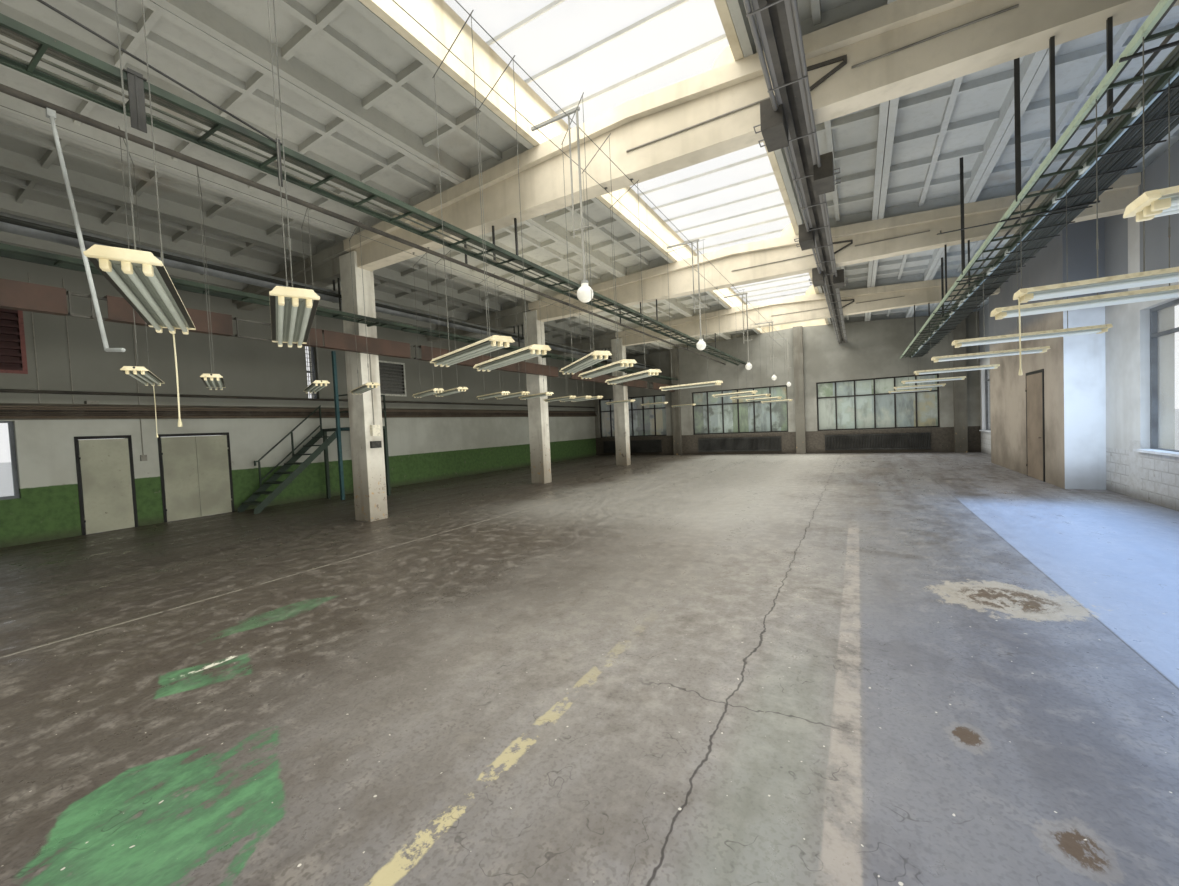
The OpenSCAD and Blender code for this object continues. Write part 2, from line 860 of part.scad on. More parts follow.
// Cables that lie on the rungs of the ladders, as [offset from the right rail, radius]
left_cables = [[55, 22], [102, 22], [150, 18], [192, 14], [300, 12], [440, 14]];
right_cables = [[52, 18], [92, 16], [200, 14], [335, 16]];
module ladder_cables() {
    rung_top = 34.3;
    color("darkslategray") {
        for (c = left_cables)
            along_hall(left_ladder_x[1] - c[0], left_ladder_h + rung_top + c[1], c[1]);
        for (c = right_cables)
            along_hall(right_ladder_x[1] - c[0], right_ladder_h + rung_top + c[1], c[1]);
    }
}

// Cables stacked in the wall tray
module tray_cables() {
    cable_r = 19.8;
    pitch = 40;
    lip = 20;
    color("dimgray")
        for (column = [0, 1, 2], row = [0 : 5 - 2 * column]) {
            x = x_left + lip + (column + 0.5) * pitch;
            along_hall(x, tray_z[0] + lip + (row + 0.5) * pitch, cable_r);
        }
}

// Conduits down the left wall, and boxes on wall, tray and column
module wall_fittings() {
    conduit_r = 10;
    gap = 0.2;
    x = x_left + conduit_r + gap;
    column_face = row_x + column_w / 2;
    column_y = frame_y[1];
    trunk_low = floor_z(trunk_z[0]);
    color("dimgray") {
        for (y = [-6560, -6120, -5140])
            translate([x, y, floor_z(tray_z[1])])
                cylinder(h = soffit_h - tray_z[1], r = conduit_r, $fn = 12);
        translate([x, -5140, floor_z(1540)]) cylinder(h = tray_z[0] - 1540, r = conduit_r, $fn = 12);
        block([x_left, -5190, floor_z(1410)], [x_left + 50, -5090, floor_z(1540)]);
        block([x_left, -5965, floor_z(tray_z[1])], [x_left + 150, -5790, floor_z(tray_z[1]) + 70]);
        translate([column_face, column_y - 90, floor_z(1724)]) cube([80, 180, 225]);
        translate([column_face, column_y - 110, floor_z(1480)]) cube([60, 220, 140]);
        translate([column_face + conduit_r + gap, column_y, floor_z(1949)])
            cylinder(h = trunk_low - floor_z(1949), r = conduit_r, $fn = 12);
    }
}

// Conduits across the near face of each beam, left and right of the busbar's bracket
module beam_conduits() {
    conduit_r = 11;
    off = 0.3;
    spans = [[ridge_x - 60, busbar_x - 110], [busbar_x + 540, x_right - 2900]];
    color("dimgray")
        for (y = frame_y, span = spans)
            translate([span[0], y - web_t / 2 - conduit_r - off, floor_z(soffit_h + 295)])
                rotate([0, 90, 0])
                    cylinder(h = span[1] - span[0], r = conduit_r, $fn = 12);
}

// Slanted arm that hangs from the pipe by a clamp, with a short turned end
module drop_arm() {
    arm_r = 14;
    y = -7760;
    clamp = 60;
    under = floor_z(pipe_h - pipe_r);
    top = [pipe_x, y, under - clamp / 2];
    low = [pipe_x + 885, y, floor_z(2453)];
    tip = [pipe_x + 1210, y, floor_z(2414)];
    color("gainsboro") {
        block([pipe_x - 25, y - 25, under - clamp], [pipe_x + 25, y + 25, under]);
        hull() {
            translate(top) sphere(r = arm_r, $fn = 16);
            translate(low) sphere(r = arm_r, $fn = 16);
        }
        hull() {
            translate(low) sphere(r = arm_r, $fn = 16);
            translate(tip) sphere(r = arm_r, $fn = 16);
        }
    }
}

// Ladder on arms ahead of the columns, above the trunking, with its cables
row_ladder_w = 350;
row_ladder_off = 25;
row_ladder_h = 3980;
row_cables = [[60, 16], [100, 14], [210, 18]];
module row_ladder() {
    x0 = row_x + column_w / 2 + row_ladder_off;
    rail_w = 30;
    rail_h = 60;
    rung = 24;
    rung_step = 500;
    arm = 40;
    rung_top = 34.3;
    z = floor_z(row_ladder_h);
    color("darkolivegreen") {
        for (x = [x0, x0 + row_ladder_w - rail_w])
            block([x, -trunk_end, z], [x + rail_w, trunk_end, z + rail_h]);
        for (k = [1 : floor(2 * trunk_end / rung_step) - 1])
            translate([x0 + rail_w - 2, -trunk_end + k * rung_step, z + 10])
                cube([row_ladder_w - 2 * rail_w + 4, rung, rung]);
        for (y = frame_y)
            block([x0 - row_ladder_off, y - arm / 2, z - arm], [x0 + row_ladder_w, y + arm / 2, z]);
        for (c = row_cables)
            along_hall(x0 + row_ladder_w - c[0], row_ladder_h + rung_top + c[1], c[1], trunk_end);
    }
}

// Pipes of the aisle in two pairs, each as [offset from the row, radius], on a bar below each beam
upper_pipes = [[425, 25], [505, 25]];
lower_pipes = [[575, 35], [475, 20]];
module pipe_pair(pair, h, post_off) {
    bar = 12;
    over = 15;
    half = 14;
    gap = 0.3;
    x0 = row_x - pair[0][0];
    x1 = row_x - pair[1][0];
    for (p = pair) along_hall(row_x - p[0], h + gap + p[1], p[1]);
    for (y = frame_y) {
        block([min(x0, x1) - pair[0][1] - 3 * over, y - over, floor_z(h) - bar],
            [max(x0, x1) + pair[0][1] + over, y + over, floor_z(h)]);
        block([row_x - post_off - half, y - half, floor_z(h)], [row_x - post_off + half, y + half, soffit]);
    }
}

module aisle_pipes() {
    color("darkslategray") {
        pipe_pair(upper_pipes, 4635, 465);
        pipe_pair(lower_pipes, 4245, 630);
    }
}

// Strip lamps: each row as [offset across, place along the hall, turn]
lamp_l = 1300;
lamp_w = 210;
lamp_h = 78;
holder_h = 40;
ridge_row_off = 275;
second_row_off = 1925;
ridge_row_x = ridge_x - ridge_row_off;
second_row_x = row_x + second_row_off;
ridge_row_h = 2370;
second_row_h = 2460;
right_row_h = 2460;
ridge_row = [
    [0, -13000, -24], [0, -10500, -24], [-100, -8080, -24], [-100, -7450, -26], [-150, -5950, -21],
    [-150, -5400, -24], [200, -4550, -42], [100, -3850, -37], [-50, -2750, -35], [50, -300, -15],
    [0, 3600, -24], [0, 5650, -24], [0, 8000, -24], [0, 11000, -24]
];
second_row = [
    [0, -12500, -23], [0, -10000, -23], [-100, -6940, -23], [-300, -6210, -23], [-250, -4940, -23],
    [-120, -4230, -23], [-300, -2780, -23], [110, -2590, -23], [-80, -1180, -23], [130, -780, -23],
    [300, -120, -23], [-40, 1400, -23], [170, 1850, -23], [300, 2240, -23], [0, 5000, -23],
    [0, 8000, -23], [0, 11500, -23]
];
right_row_y = [-12000, -9000, -6200, -4570, -3900, -2000, -200, 2400, 5500, 8500, 11500];
right_row_x = right_ladder_x[0] + 45;

// Lamp from its middle: folded housing, three holders at each end and three tubes
module strip_lamp() {
    half = lamp_w / 2;
    flange = 8;
    shoulder = 22;
    crown = 31;
    holder_off = 50;
    holder_half = 14;
    tube_step = 62;
    tube_r = 13;
    rotate([90, 0, 90])
        linear_extrude(lamp_l, center = true)
            polygon([
                [-half, holder_h], [half, holder_h], [half, holder_h + flange],
                [half - shoulder, holder_h + flange], [half - crown, lamp_h],
                [crown - half, lamp_h], [shoulder - half, holder_h + flange],
                [-half, holder_h + flange]
            ]);
    for (k = [-1, 0, 1]) {
        for (end = [-1, 1])
            translate([end * (lamp_l / 2 - holder_off), k * tube_step, holder_h / 2])
                cube([holder_off, 2 * holder_half, holder_h], center = true);
        translate([0, k * tube_step, holder_h / 2])
            rotate([0, 90, 0])
                cylinder(h = lamp_l - 3 * holder_off, r = tube_r, center = true, $fn = 16);
    }
}

// A lamp's place, with its middle at height h and turned about the vertical
module lamp_place(x, y, h, turn) {
    translate([x, y, floor_z(h)]) rotate([0, 0, turn]) children();
}

module strip_lamps() {
    color("beige") {
        for (p = ridge_row) lamp_place(ridge_row_x + p[0], p[1], ridge_row_h, p[2]) strip_lamp();
        for (p = second_row) lamp_place(second_row_x + p[0], p[1], second_row_h, p[2]) strip_lamp();
        for (y = right_row_y) lamp_place(right_row_x, y, right_row_h, 0) strip_lamp();
    }
}

// Pull cords under the left ends of three lamps, each as [lamp row x, lamp, lamp height, rings]
cord_r = 4.5;
cord_step = 15;
cord_end = lamp_l / 2 - 13;
near_cord = [ridge_row_x, ridge_row[2], ridge_row_h, 36];
left_cord = [second_row_x, second_row[2], second_row_h, 42];
right_cord = [right_row_x, [0, right_row_y[3], 0], right_row_h, 34];

function cord_sway(k) = [3 * sin(4 * k), 2 * sin(6 * k), -cord_step * k];
function cord_top(c) = [
    c[0] + c[1][0] - cord_end * cos(c[1][2]),
    c[1][1] - cord_end * sin(c[1][2]),
    floor_z(c[2] + holder_h)
];

module pull_cord(c) {
    sides = 8;
    rings = c[3];
    points = [
        for (k = [0 : rings], a = [0 : sides - 1])
            cord_sway(k) + [cord_r * cos(a * 360 / sides), cord_r * sin(a * 360 / sides), 0]
    ];
    corners = [[0, 0], [0, 1], [1, 1], [1, 0]];
    walls = [
        for (k = [0 : rings - 1], a = [0 : sides - 1])
            [for (c = corners) (k + c[0]) * sides + (a + c[1]) % sides]
    ];
    lid = [for (a = [0 : sides - 1]) sides - 1 - a];
    foot = [for (a = [0 : sides - 1]) rings * sides + a];
    color("ivory")
        translate(cord_top(c))
            polyhedron(points = points, faces = concat([lid], walls, [foot]));
}

module pull_cord_near() {
    pull_cord(near_cord);
}

module pull_cord_left() {
    pull_cord(left_cord);
}

module pull_cord_right() {
    pull_cord(right_cord);
}

module pull_knobs() {
    color("ivory")
        for (c = [near_cord, left_cord, right_cord])
            translate(cord_top(c) + cord_sway(c[3]) - [0, 0, 50])
                cylinder(h = 50, r1 = 11, r2 = 6, $fn = 24);
}

carrier_r = 20;
carrier_off = 200;
carrier_low = soffit - 2 * carrier_r;
rod_r = 5;

module lamp_rod(x, h, top_z) {
    translate([x, 0, lamp_h]) cylinder(h = top_z - floor_z(h) - lamp_h, r = rod_r, $fn = 8);
}

// Two rods from a lamp up to a flat bar that lies under the carriers
module lamp_hanger(h) {
    reach = 400;
    bar_l = 1200;
    bar_w = 20;
    bar_t = 12;
    for (side = [-1, 1]) lamp_rod(side * reach, h, carrier_low - bar_t / 2);
    translate([-bar_l / 2, -bar_w / 2, carrier_low - bar_t - floor_z(h)]) cube([bar_l, bar_w, bar_t]);
}

module lamp_rods() {
    color("gray") {
        for (p = ridge_row)
            lamp_place(ridge_row_x + p[0], p[1], ridge_row_h, p[2]) lamp_hanger(ridge_row_h);
        for (p = second_row)
            lamp_place(second_row_x + p[0], p[1], second_row_h, p[2]) lamp_hanger(second_row_h);
        for (y = right_row_y, x = [right_ladder_x[0] + 15, right_ladder_x[1] - 15])
            lamp_place(x, y, right_row_h, 0) lamp_rod(0, right_row_h, floor_z(right_ladder_h));
    }
}

// Tubes under the beams that carry two rows of lamps
module lamp_carriers() {
    color("dimgray")
        for (x = [ridge_row_x, second_row_x], side = [-1, 1])
            along_hall(x + side * carrier_off, soffit_h - carrier_r, carrier_r, y_end - gable_column_d);
}

globe_y = [-13000, -9200, -4600, -300, 4100, 8500, 12500];
globe_r = 90;
globe_h = 3150;
globe_off = 300;

// Opal globes, each on a rod below a bar that lies on the two carriers
module globe_lamps() {
    bar = 30;
    x = ridge_row_x + globe_off;
    color("ivory")
        for (y = globe_y) {
            translate([x, y, floor_z(globe_h)]) {
                sphere(r = globe_r, $fn = 32);
                cylinder(h = globe_r + 50, r = 40, $fn = 24);
                cylinder(h = soffit_h - globe_h + bar, r = 8, $fn = 8);
            }
            block([ridge_row_x - globe_off, y - bar / 2, soffit], [x + bar, y + bar / 2, soffit + bar]);
        }
}

// Stair against the left wall, rising along +Y to a landing
stair_x = [x_left + 250, x_left + 1050];
stair_y = [-3670, -1340];
stair_h = 2000;
stringer_t = 12;
stringer_w = 150;
stringer_nose = 120;
landing_l = 1000;
riser_count = 9;

module stringer(x) {
    rise = atan2(stair_h, stair_y[1] - stair_y[0]);
    cut = stringer_w / cos(rise);
    outline = [
        [stair_y[0] + stringer_nose, slab_t],
        [stair_y[0] + cut / tan(rise), slab_t],
        [stair_y[1], floor_z(stair_h) - cut],
        [stair_y[1], floor_z(stair_h)],
        [stair_y[0] + stringer_nose, slab_t + stringer_nose * tan(rise)]
    ];
    translate([x, 0, 0])
        rotate([90, 0, 90])
            linear_extrude(stringer_t) polygon(outline);
}

landing_t = 80;
landing_w = 700;
post = 80;
tall_post_h = 4100;
module stair_frame() {
    z = floor_z(stair_h);
    color("darkslategray") {
        stringer(stair_x[0]);
        stringer(stair_x[1] - stringer_t);
        block([stair_x[0], stair_y[1], z - landing_t], [stair_x[1] + landing_w, stair_y[1] + landing_l, z]);
        for (x = [stair_x[0], stair_x[1] + landing_w - post], y = [stair_y[1], stair_y[1] + landing_l - post])
            block([x, y, slab_t], [x + post, y + post, z - landing_t]);
        block([stair_x[1], stair_y[1] - post, slab_t],
            [stair_x[1] + post, stair_y[1], floor_z(tall_post_h)]);
    }
}

module stair_treads() {
    run = (stair_y[1] - stair_y[0]) / riser_count;
    rise = stair_h / riser_count;
    color("dimgray")
        for (k = [1 : riser_count - 1])
            block([stair_x[0] + stringer_t, stair_y[0] + (k - 0.2) * run, floor_z(k * rise) - 30],
                [stair_x[1] - stringer_t, stair_y[0] + (k + 0.9) * run, floor_z(k * rise)]);
}

// Two rails on the wall side of the flight, and rails round the landing
module stair_railing() {
    rail = 36;
    h = 900;
    flight_h = 640;
    low_h = 110;
    curl = 90;
    z = floor_z(stair_h);
    x = stair_x[0] - rail;
    going = stair_y[1] - stair_y[0];
    slope = stair_h / going;
    first = 0.28 * going;
    outer = stair_x[1] + landing_w - rail;
    front = stair_y[1];
    back = stair_y[1] + landing_l - rail;
    color("darkslategray") {
        translate([x, stair_y[0], slab_t])
            rotate([90, 0, 90])
                linear_extrude(rail) {
                    for (up = [low_h, flight_h])
                        polygon([
                            [first, first * slope + up], [going, stair_h + up],
                            [going, stair_h + up + rail], [first, first * slope + up + rail]
                        ]);
                    for (y = [first, (first + going) / 2, going - rail])
                        translate([y, y * slope - 60])
                            polygon([[0, 0], [rail, 0], [rail, flight_h + 70], [0, flight_h + 70]]);
                    translate([first - curl, first * slope + flight_h])
                        polygon([[0, -curl], [rail, -curl], [rail, 0], [curl, 0], [curl, rail], [0, rail]]);
                }
        for (p = [[outer, front], [outer, back], [stair_x[0], back]])
            block([p[0], p[1], z], [p[0] + rail, p[1] + rail, z + h]);
        for (level = [h / 2, h]) {
            block([stair_x[1], front, z + level - rail], [outer + rail, front + rail, z + level]);
            block([outer, front, z + level - rail], [outer + rail, back + rail, z + level]);
            block([stair_x[0], back, z + level - rail], [outer + rail, back + rail, z + level]);
        }
    }
}

// Finned heaters under the far and near gable windows
module radiators() {
    depth = 110;
    low = 150;
    high = 850;
    color("dimgray")
        for (side = [-1, 1], w = gable_windows)
            block([w[0] + 300, side * y_end - (side > 0 ? depth : 0), floor_z(low)],
                [w[1] - 300, side * y_end + (side > 0 ? 0 : depth), floor_z(high)]);
}

floor_slab();
interior_columns();
wall_columns();
gable_columns();
nave_beams();
aisle_beams();
roof_panels_left();
roof_panels_right();
roof_covering();
roof_edge();
skylight_curbs();
skylight_bars();
skylight_glass();
far_gable_wall();
near_gable_wall();
left_wall_south();
left_wall_north();
left_wall_over_doors();
right_wall();
porch_walls();
porch_wall_over_door();
window_frames_gable();
window_glass_gable();
window_frames_side();
window_glass_side();
window_sills();
wall_louvres();
door_frames();
side_door();
double_door_left_leaf();
double_door_right_leaf();
porch_door();
row_trunking();
trunking_rails();
cable_ladder_left();
cable_ladder_right();
service_hangers();
busbar();
wall_cable_tray();
air_duct();
pipes();
lamp_carriers();
lamp_rods();
strip_lamps();
globe_lamps();
stair_frame();
stair_treads();
stair_railing();
radiators();
ladder_cables();
tray_cables();
wall_fittings();
beam_conduits();
drop_arm();
pull_cord_near();
pull_cord_left();
pull_cord_right();
pull_knobs();
row_ladder();
aisle_pipes();
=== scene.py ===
# %% [markdown]
# A factory hall in precast concrete
#
# The imported solids of the hall are the fixed frame of this lesson. They are loaded first. Everything else rides on
# the body named hall or on one of its four door leaves.

# %% Load the frame
import math

import bmesh
import bpy
from mathutils import Matrix, Vector


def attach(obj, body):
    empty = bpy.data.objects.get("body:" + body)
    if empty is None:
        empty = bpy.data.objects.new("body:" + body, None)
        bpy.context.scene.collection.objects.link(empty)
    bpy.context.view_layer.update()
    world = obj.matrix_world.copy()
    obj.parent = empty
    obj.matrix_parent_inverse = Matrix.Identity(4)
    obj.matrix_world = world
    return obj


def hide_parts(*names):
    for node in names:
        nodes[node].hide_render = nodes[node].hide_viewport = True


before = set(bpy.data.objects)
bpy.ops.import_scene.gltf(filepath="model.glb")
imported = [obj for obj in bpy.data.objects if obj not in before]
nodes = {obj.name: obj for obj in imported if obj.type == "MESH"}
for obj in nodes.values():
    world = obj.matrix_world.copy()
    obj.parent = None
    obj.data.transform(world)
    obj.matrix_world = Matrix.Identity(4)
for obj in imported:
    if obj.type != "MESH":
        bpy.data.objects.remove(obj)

link = bpy.context.scene.collection.objects.link


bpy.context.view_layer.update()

# %% [markdown]
# The camera
#
# The photo is a wide view at eye height, turned 30 degrees from the length of the hall. Two vanishing points give
# the focal length and the directions, so the camera is placed by its three axes and not by guessed angles.

# %% Camera
EYE = Vector((4.625, -9.0, 1.91))
LOOK_RIGHT = Vector((0.86473, 0.50023, -0.04487))
LOOK_UP = Vector((0.02163, 0.05217, 0.99840))
LOOK_AHEAD = Vector((-0.50177, 0.86432, -0.03429))

lens = bpy.data.cameras.new("eye_height_lens")
lens.sensor_fit = "HORIZONTAL"
lens.sensor_width = 36.0
lens.lens = 14.165
lens.clip_start = 0.05
lens.clip_end = 400.0
camera = bpy.data.objects.new("eye_height_camera", lens)
camera.matrix_world = Matrix.Translation(EYE) @ Matrix((LOOK_RIGHT, LOOK_UP, -LOOK_AHEAD)).transposed().to_4x4()
link(camera)
bpy.context.scene.camera = camera
print("camera", [round(v, 3) for v in EYE], "lens", lens.lens)

# %% [markdown]
# How finishes are made
#
# Every surface here is old: paint over concrete, limewash over brick, dull enamel. A finish starts from one shader
# and adds spots, streaks and wear from noise that reads Object coordinates, so that it stays put in metres. A small
# class keeps the node work short.


# %% Finish maker
def srgb(red, green, blue):
    """A colour from 0 to 255 as the shader wants it."""
    def linear(c):
        c /= 255.0
        return c / 12.92 if c <= 0.04045 else ((c + 0.055) / 1.055) ** 2.4
    return (linear(red), linear(green), linear(blue), 1.0)


class Value:
    """What a node gives out, so that plain + - * and abs() can be written between such values."""

    def __init__(self, finish, socket):
        self.finish, self.socket = finish, socket

    def __add__(self, other):
        return self.finish.math("ADD", self, other)

    def __sub__(self, other):
        return self.finish.math("SUBTRACT", self, other)

    def __mul__(self, other):
        return self.finish.math("MULTIPLY", self, other)

    def __abs__(self):
        return self.finish.math("ABSOLUTE", self)


class Finish:
    """A material under way, with short calls for the nodes that it needs."""

    def __init__(self, name, roughness=0.7, metallic=0.0, flat=False):
        """flat makes the noises ask for x and y only, which is enough for a floor."""
        self.flat = flat
        self.material = bpy.data.materials.new(name)
        self.material.use_nodes = True
        self.tree = self.material.node_tree
        self.shader = self.tree.nodes["Principled BSDF"]
        self.shader.inputs["Roughness"].default_value = roughness
        self.shader.inputs["Metallic"].default_value = metallic
        self.object_place = self.add("ShaderNodeTexCoord").outputs["Object"]
        self.x, self.y, self.z = self.parts(self.object_place)

    def add(self, kind, **settings):
        node = self.tree.nodes.new(kind)
        for key, value in settings.items():
            setattr(node, key, value)
        return node

    def feed(self, socket, value):
        """A tuple is a colour from 0 to 255."""
        if isinstance(value, Value):
            self.tree.links.new(value.socket, socket)
        else:
            socket.default_value = srgb(*value) if isinstance(value, tuple) else value

    def parts(self, vector):
        split = self.add("ShaderNodeSeparateXYZ")
        self.tree.links.new(vector, split.inputs[0])
        return [Value(self, socket) for socket in split.outputs[:3]]

    def math(self, operation, a, b=0.0):
        node = self.add("ShaderNodeMath", operation=operation)
        self.feed(node.inputs[0], a)
        self.feed(node.inputs[1], b)
        return Value(self, node.outputs[0])

    def most(self, a, b):
        return self.math("MAXIMUM", a, b)

    def facing(self):
        """The three parts of the surface's own direction."""
        return self.parts(self.add("ShaderNodeNewGeometry").outputs["Normal"])

    def drawn_for(self, first, second):
        """A random number from 0 to 1 for each pair of whole numbers."""
        pair = self.add("ShaderNodeCombineXYZ")
        self.feed(pair.inputs[0], first)
        self.feed(pair.inputs[1], second)
        drawn = self.add("ShaderNodeTexWhiteNoise")
        self.tree.links.new(pair.outputs[0], drawn.inputs["Vector"])
        return Value(self, drawn.outputs["Value"])

    def noise(self, scale, detail=3.0, roughness=0.55, stretch=(1, 1, 1), shift=(0, 0, 0)):
        mapping = self.add("ShaderNodeMapping")
        self.tree.links.new(self.object_place, mapping.inputs["Vector"])
        mapping.inputs["Scale"].default_value = stretch
        mapping.inputs["Location"].default_value = shift
        node = self.add("ShaderNodeTexNoise", noise_dimensions="2D" if self.flat else "3D")
        self.tree.links.new(mapping.outputs[0], node.inputs["Vector"])
        node.inputs["Scale"].default_value = scale
        node.inputs["Detail"].default_value = detail
        node.inputs["Roughness"].default_value = roughness
        return Value(self, node.outputs["Fac"])

    def ramp(self, value, low, high):
        """0 below low, 1 above high, soft between. With low above high it falls instead."""
        node = self.add("ShaderNodeMapRange", interpolation_type="SMOOTHSTEP", clamp=True)
        self.feed(node.inputs["Value"], value)
        flip = low > high
        self.feed(node.inputs["From Min"], high if flip else low)
        self.feed(node.inputs["From Max"], low if flip else high)
        node.inputs["To Min"].default_value = 1.0 if flip else 0.0
        node.inputs["To Max"].default_value = 0.0 if flip else 1.0
        return Value(self, node.outputs["Result"])

    def between(self, value, low, high, soft):
        """1 from low to high, falling off over soft on both sides."""
        return self.ramp(value, low - soft, low + soft) * self.ramp(value, high + soft, high - soft)

    def inside(self, outline, soft, x, y):
        """1 inside a floor area with outward bulging corners, given as points in turn to the left."""
        share = 1.0
        for (x0, y0), (x1, y1) in zip(outline, outline[1:] + outline[:1]):
            length = math.hypot(x1 - x0, y1 - y0)
            nx, ny = -(y1 - y0) / length, (x1 - x0) / length
            edge = nx * x0 + ny * y0
            share = self.ramp(x * nx + y * ny, edge - soft, edge + soft) * share
        return share

    def mix(self, share, first, second):
        node = self.add("ShaderNodeMix", data_type="RGBA")
        self.feed(node.inputs["Factor"], share)
        colours = [s for s in node.inputs if s.type == "RGBA"]
        self.feed(colours[0], first)
        self.feed(colours[1], second)
        return Value(self, next(s for s in node.outputs if s.type == "RGBA"))

    def relief(self, height, strength=0.4, distance=0.01):
        node = self.add("ShaderNodeBump")
        node.inputs["Strength"].default_value = strength
        node.inputs["Distance"].default_value = distance
        self.feed(node.inputs["Height"], height)
        self.tree.links.new(node.outputs[0], self.shader.inputs["Normal"])

    def done(self, colour, roughness=None):
        self.feed(self.shader.inputs["Base Color"], colour)
        if roughness is not None:
            self.feed(self.shader.inputs["Roughness"], roughness)
        return self.material


def dress(material, *names):
    """Gives CAD nodes their finish. Their meshes stay as they are."""
    for name in names:
        slots = nodes[name].data.materials
        slots.clear()
        slots.append(material)


def old_paint(name, colour, dark, chipped, roughness=0.55, metallic=0.0, scale=6.0, wear=0.68):
    """Dull paint with soot in soft clouds and small chips down to what lies under it."""
    f = Finish(name, roughness, metallic)
    clouds = f.ramp(f.noise(scale * 0.35, 3), 0.35, 0.72)
    fine = f.noise(scale * 4.0, 3, 0.65)
    chips = f.ramp(f.noise(scale * 2.3, 4, 0.7, shift=(7, 3, 5)), wear, wear + 0.05)
    shade = f.mix(clouds, colour, dark)
    shade = f.mix(f.ramp(fine, 0.4, 0.8) * 0.35, shade, dark)
    f.relief(fine, 0.25, 0.004)
    return f.done(f.mix(chips, shade, chipped))


print("finish maker ready")

# %% [markdown]
# How shapes are made
#
# Small fittings are drawn with bmesh: blocks with broken edges, rods, bent tubes, turned knobs and folded sheet. One
# class holds such a mesh while it grows, and hands it over as a piece that rides on its body.


# %% Shape maker
class Shape:
    """A mesh under way, in metres, with up to a few finishes."""

    def __init__(self, name, *finishes):
        self.name, self.finishes, self.mesh = name, finishes, bmesh.new()

    def break_edges(self, edges, width):
        bmesh.ops.bevel(self.mesh, geom=list(edges), offset=width, segments=2, profile=0.5, affect="EDGES",
                        clamp_overlap=True)

    def block(self, low, high, slot=0, bevel=0.0):
        made = bmesh.ops.create_cube(self.mesh, size=1.0)["verts"]
        for vert in made:
            vert.co = Vector([(a + b) / 2 + c * (b - a) for a, b, c in zip(low, high, vert.co)])
        for face in {face for vert in made for face in vert.link_faces}:
            face.material_index = slot
        if bevel:
            self.break_edges({edge for vert in made for edge in vert.link_edges}, bevel)

    def tube(self, path, radius, sides=12, slot=0):
        """A round bar along a path of points, closed at both ends."""
        path = [Vector(p) for p in path]
        last = len(path) - 1
        angles = [math.tau * k / sides for k in range(sides)]
        rings, side = [], None
        for i, point in enumerate(path):
            before = (point - path[i - 1]).normalized() if i else (path[1] - point).normalized()
            after = (path[i + 1] - point).normalized() if i < last else before
            ahead = (before + after).normalized()
            side = ahead.orthogonal().normalized() if side is None else (side - ahead * side.dot(ahead)).normalized()
            up = ahead.cross(side)
            reach = radius / max(0.5, math.sqrt((1 + before.dot(after)) / 2)) if 0 < i < last else radius
            rings.append([self.mesh.verts.new(point + (side * math.cos(a) + up * math.sin(a)) * reach) for a in angles])
        faces = [self.mesh.faces.new((a[k], a[(k + 1) % sides], b[(k + 1) % sides], b[k]))
                 for a, b in zip(rings, rings[1:]) for k in range(sides)]
        faces += [self.mesh.faces.new(rings[0][::-1]), self.mesh.faces.new(rings[-1])]
        for face in faces:
            face.material_index = slot

    def turned(self, profile, foot=(0, 0, 0), sides=20, slot=0, axis="Z"):
        """A lathe-turned form from pairs of radius and height, which start and end at radius 0."""
        turn = Matrix.Rotation(math.pi / 2, 4, "Y") if axis == "X" else Matrix()
        rows = []
        for radius, height in profile:
            angles = [math.tau * k / sides for k in range(sides if radius > 0 else 1)]
            rows.append([self.mesh.verts.new(Vector(foot) + turn @ Vector(
                (radius * math.cos(a), radius * math.sin(a), height))) for a in angles])
        for a, b in zip(rows, rows[1:]):
            for k in range(sides):
                ring = [a[k % len(a)], a[(k + 1) % len(a)], b[(k + 1) % len(b)], b[k % len(b)]]
                face = self.mesh.faces.new(list(dict.fromkeys(ring)))
                face.material_index = slot

    def prism(self, outline, start, end, slot=0, bevel=0.0):
        """A form along X whose cross-section is given as pairs of y and z."""
        ends = [[self.mesh.verts.new((x, y, z)) for y, z in outline] for x in (start, end)]
        count = len(outline)
        faces = [self.mesh.faces.new((ends[0][k], ends[0][(k + 1) % count], ends[1][(k + 1) % count], ends[1][k]))
                 for k in range(count)]
        faces += [self.mesh.faces.new(ends[0][::-1]), self.mesh.faces.new(ends[1])]
        for face in faces:
            face.material_index = slot
        if bevel:
            self.break_edges({edge for face in faces for edge in face.edges}, bevel)

    def as_object(self):
        """The mesh as an object with its finishes, smooth but for its sharp edges."""
        data = bpy.data.meshes.new(self.name)
        bmesh.ops.recalc_face_normals(self.mesh, faces=self.mesh.faces)
        self.mesh.to_mesh(data)
        self.mesh.free()
        for finish in self.finishes:
            data.materials.append(finish)
        data.polygons.foreach_set("use_smooth", [True] * len(data.polygons))
        data.set_sharp_from_angle(angle=math.radians(38))
        piece = bpy.data.objects.new(self.name, data)
        link(piece)
        return piece

    def done(self, slot, body="hall", stands_for=()):
        return hand_over(self.as_object(), body, stands_for)


def hand_over(piece, body="hall", stands_for=()):
    """Ties a finished piece to its body and the nodes that it stands for."""
    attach(piece, body)
    if stands_for:
        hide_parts(*stands_for)
    return piece


print("shape maker ready")

# %% [markdown]
# The pull cords
#
# Thin cords in a plastic sheath hang under the left ends of some lamps and end in a bell-shaped knob. Each is a curve
# along its route, so that its length can be measured, and the knob is turned on a lathe.

# %% Pull cords
CORD_RADIUS = 0.0045
CORD_STEP = 0.015
cord_sheath = old_paint("cord_sheath", (224, 216, 184), (196, 186, 150), (170, 158, 124), 0.45, scale=9.0)


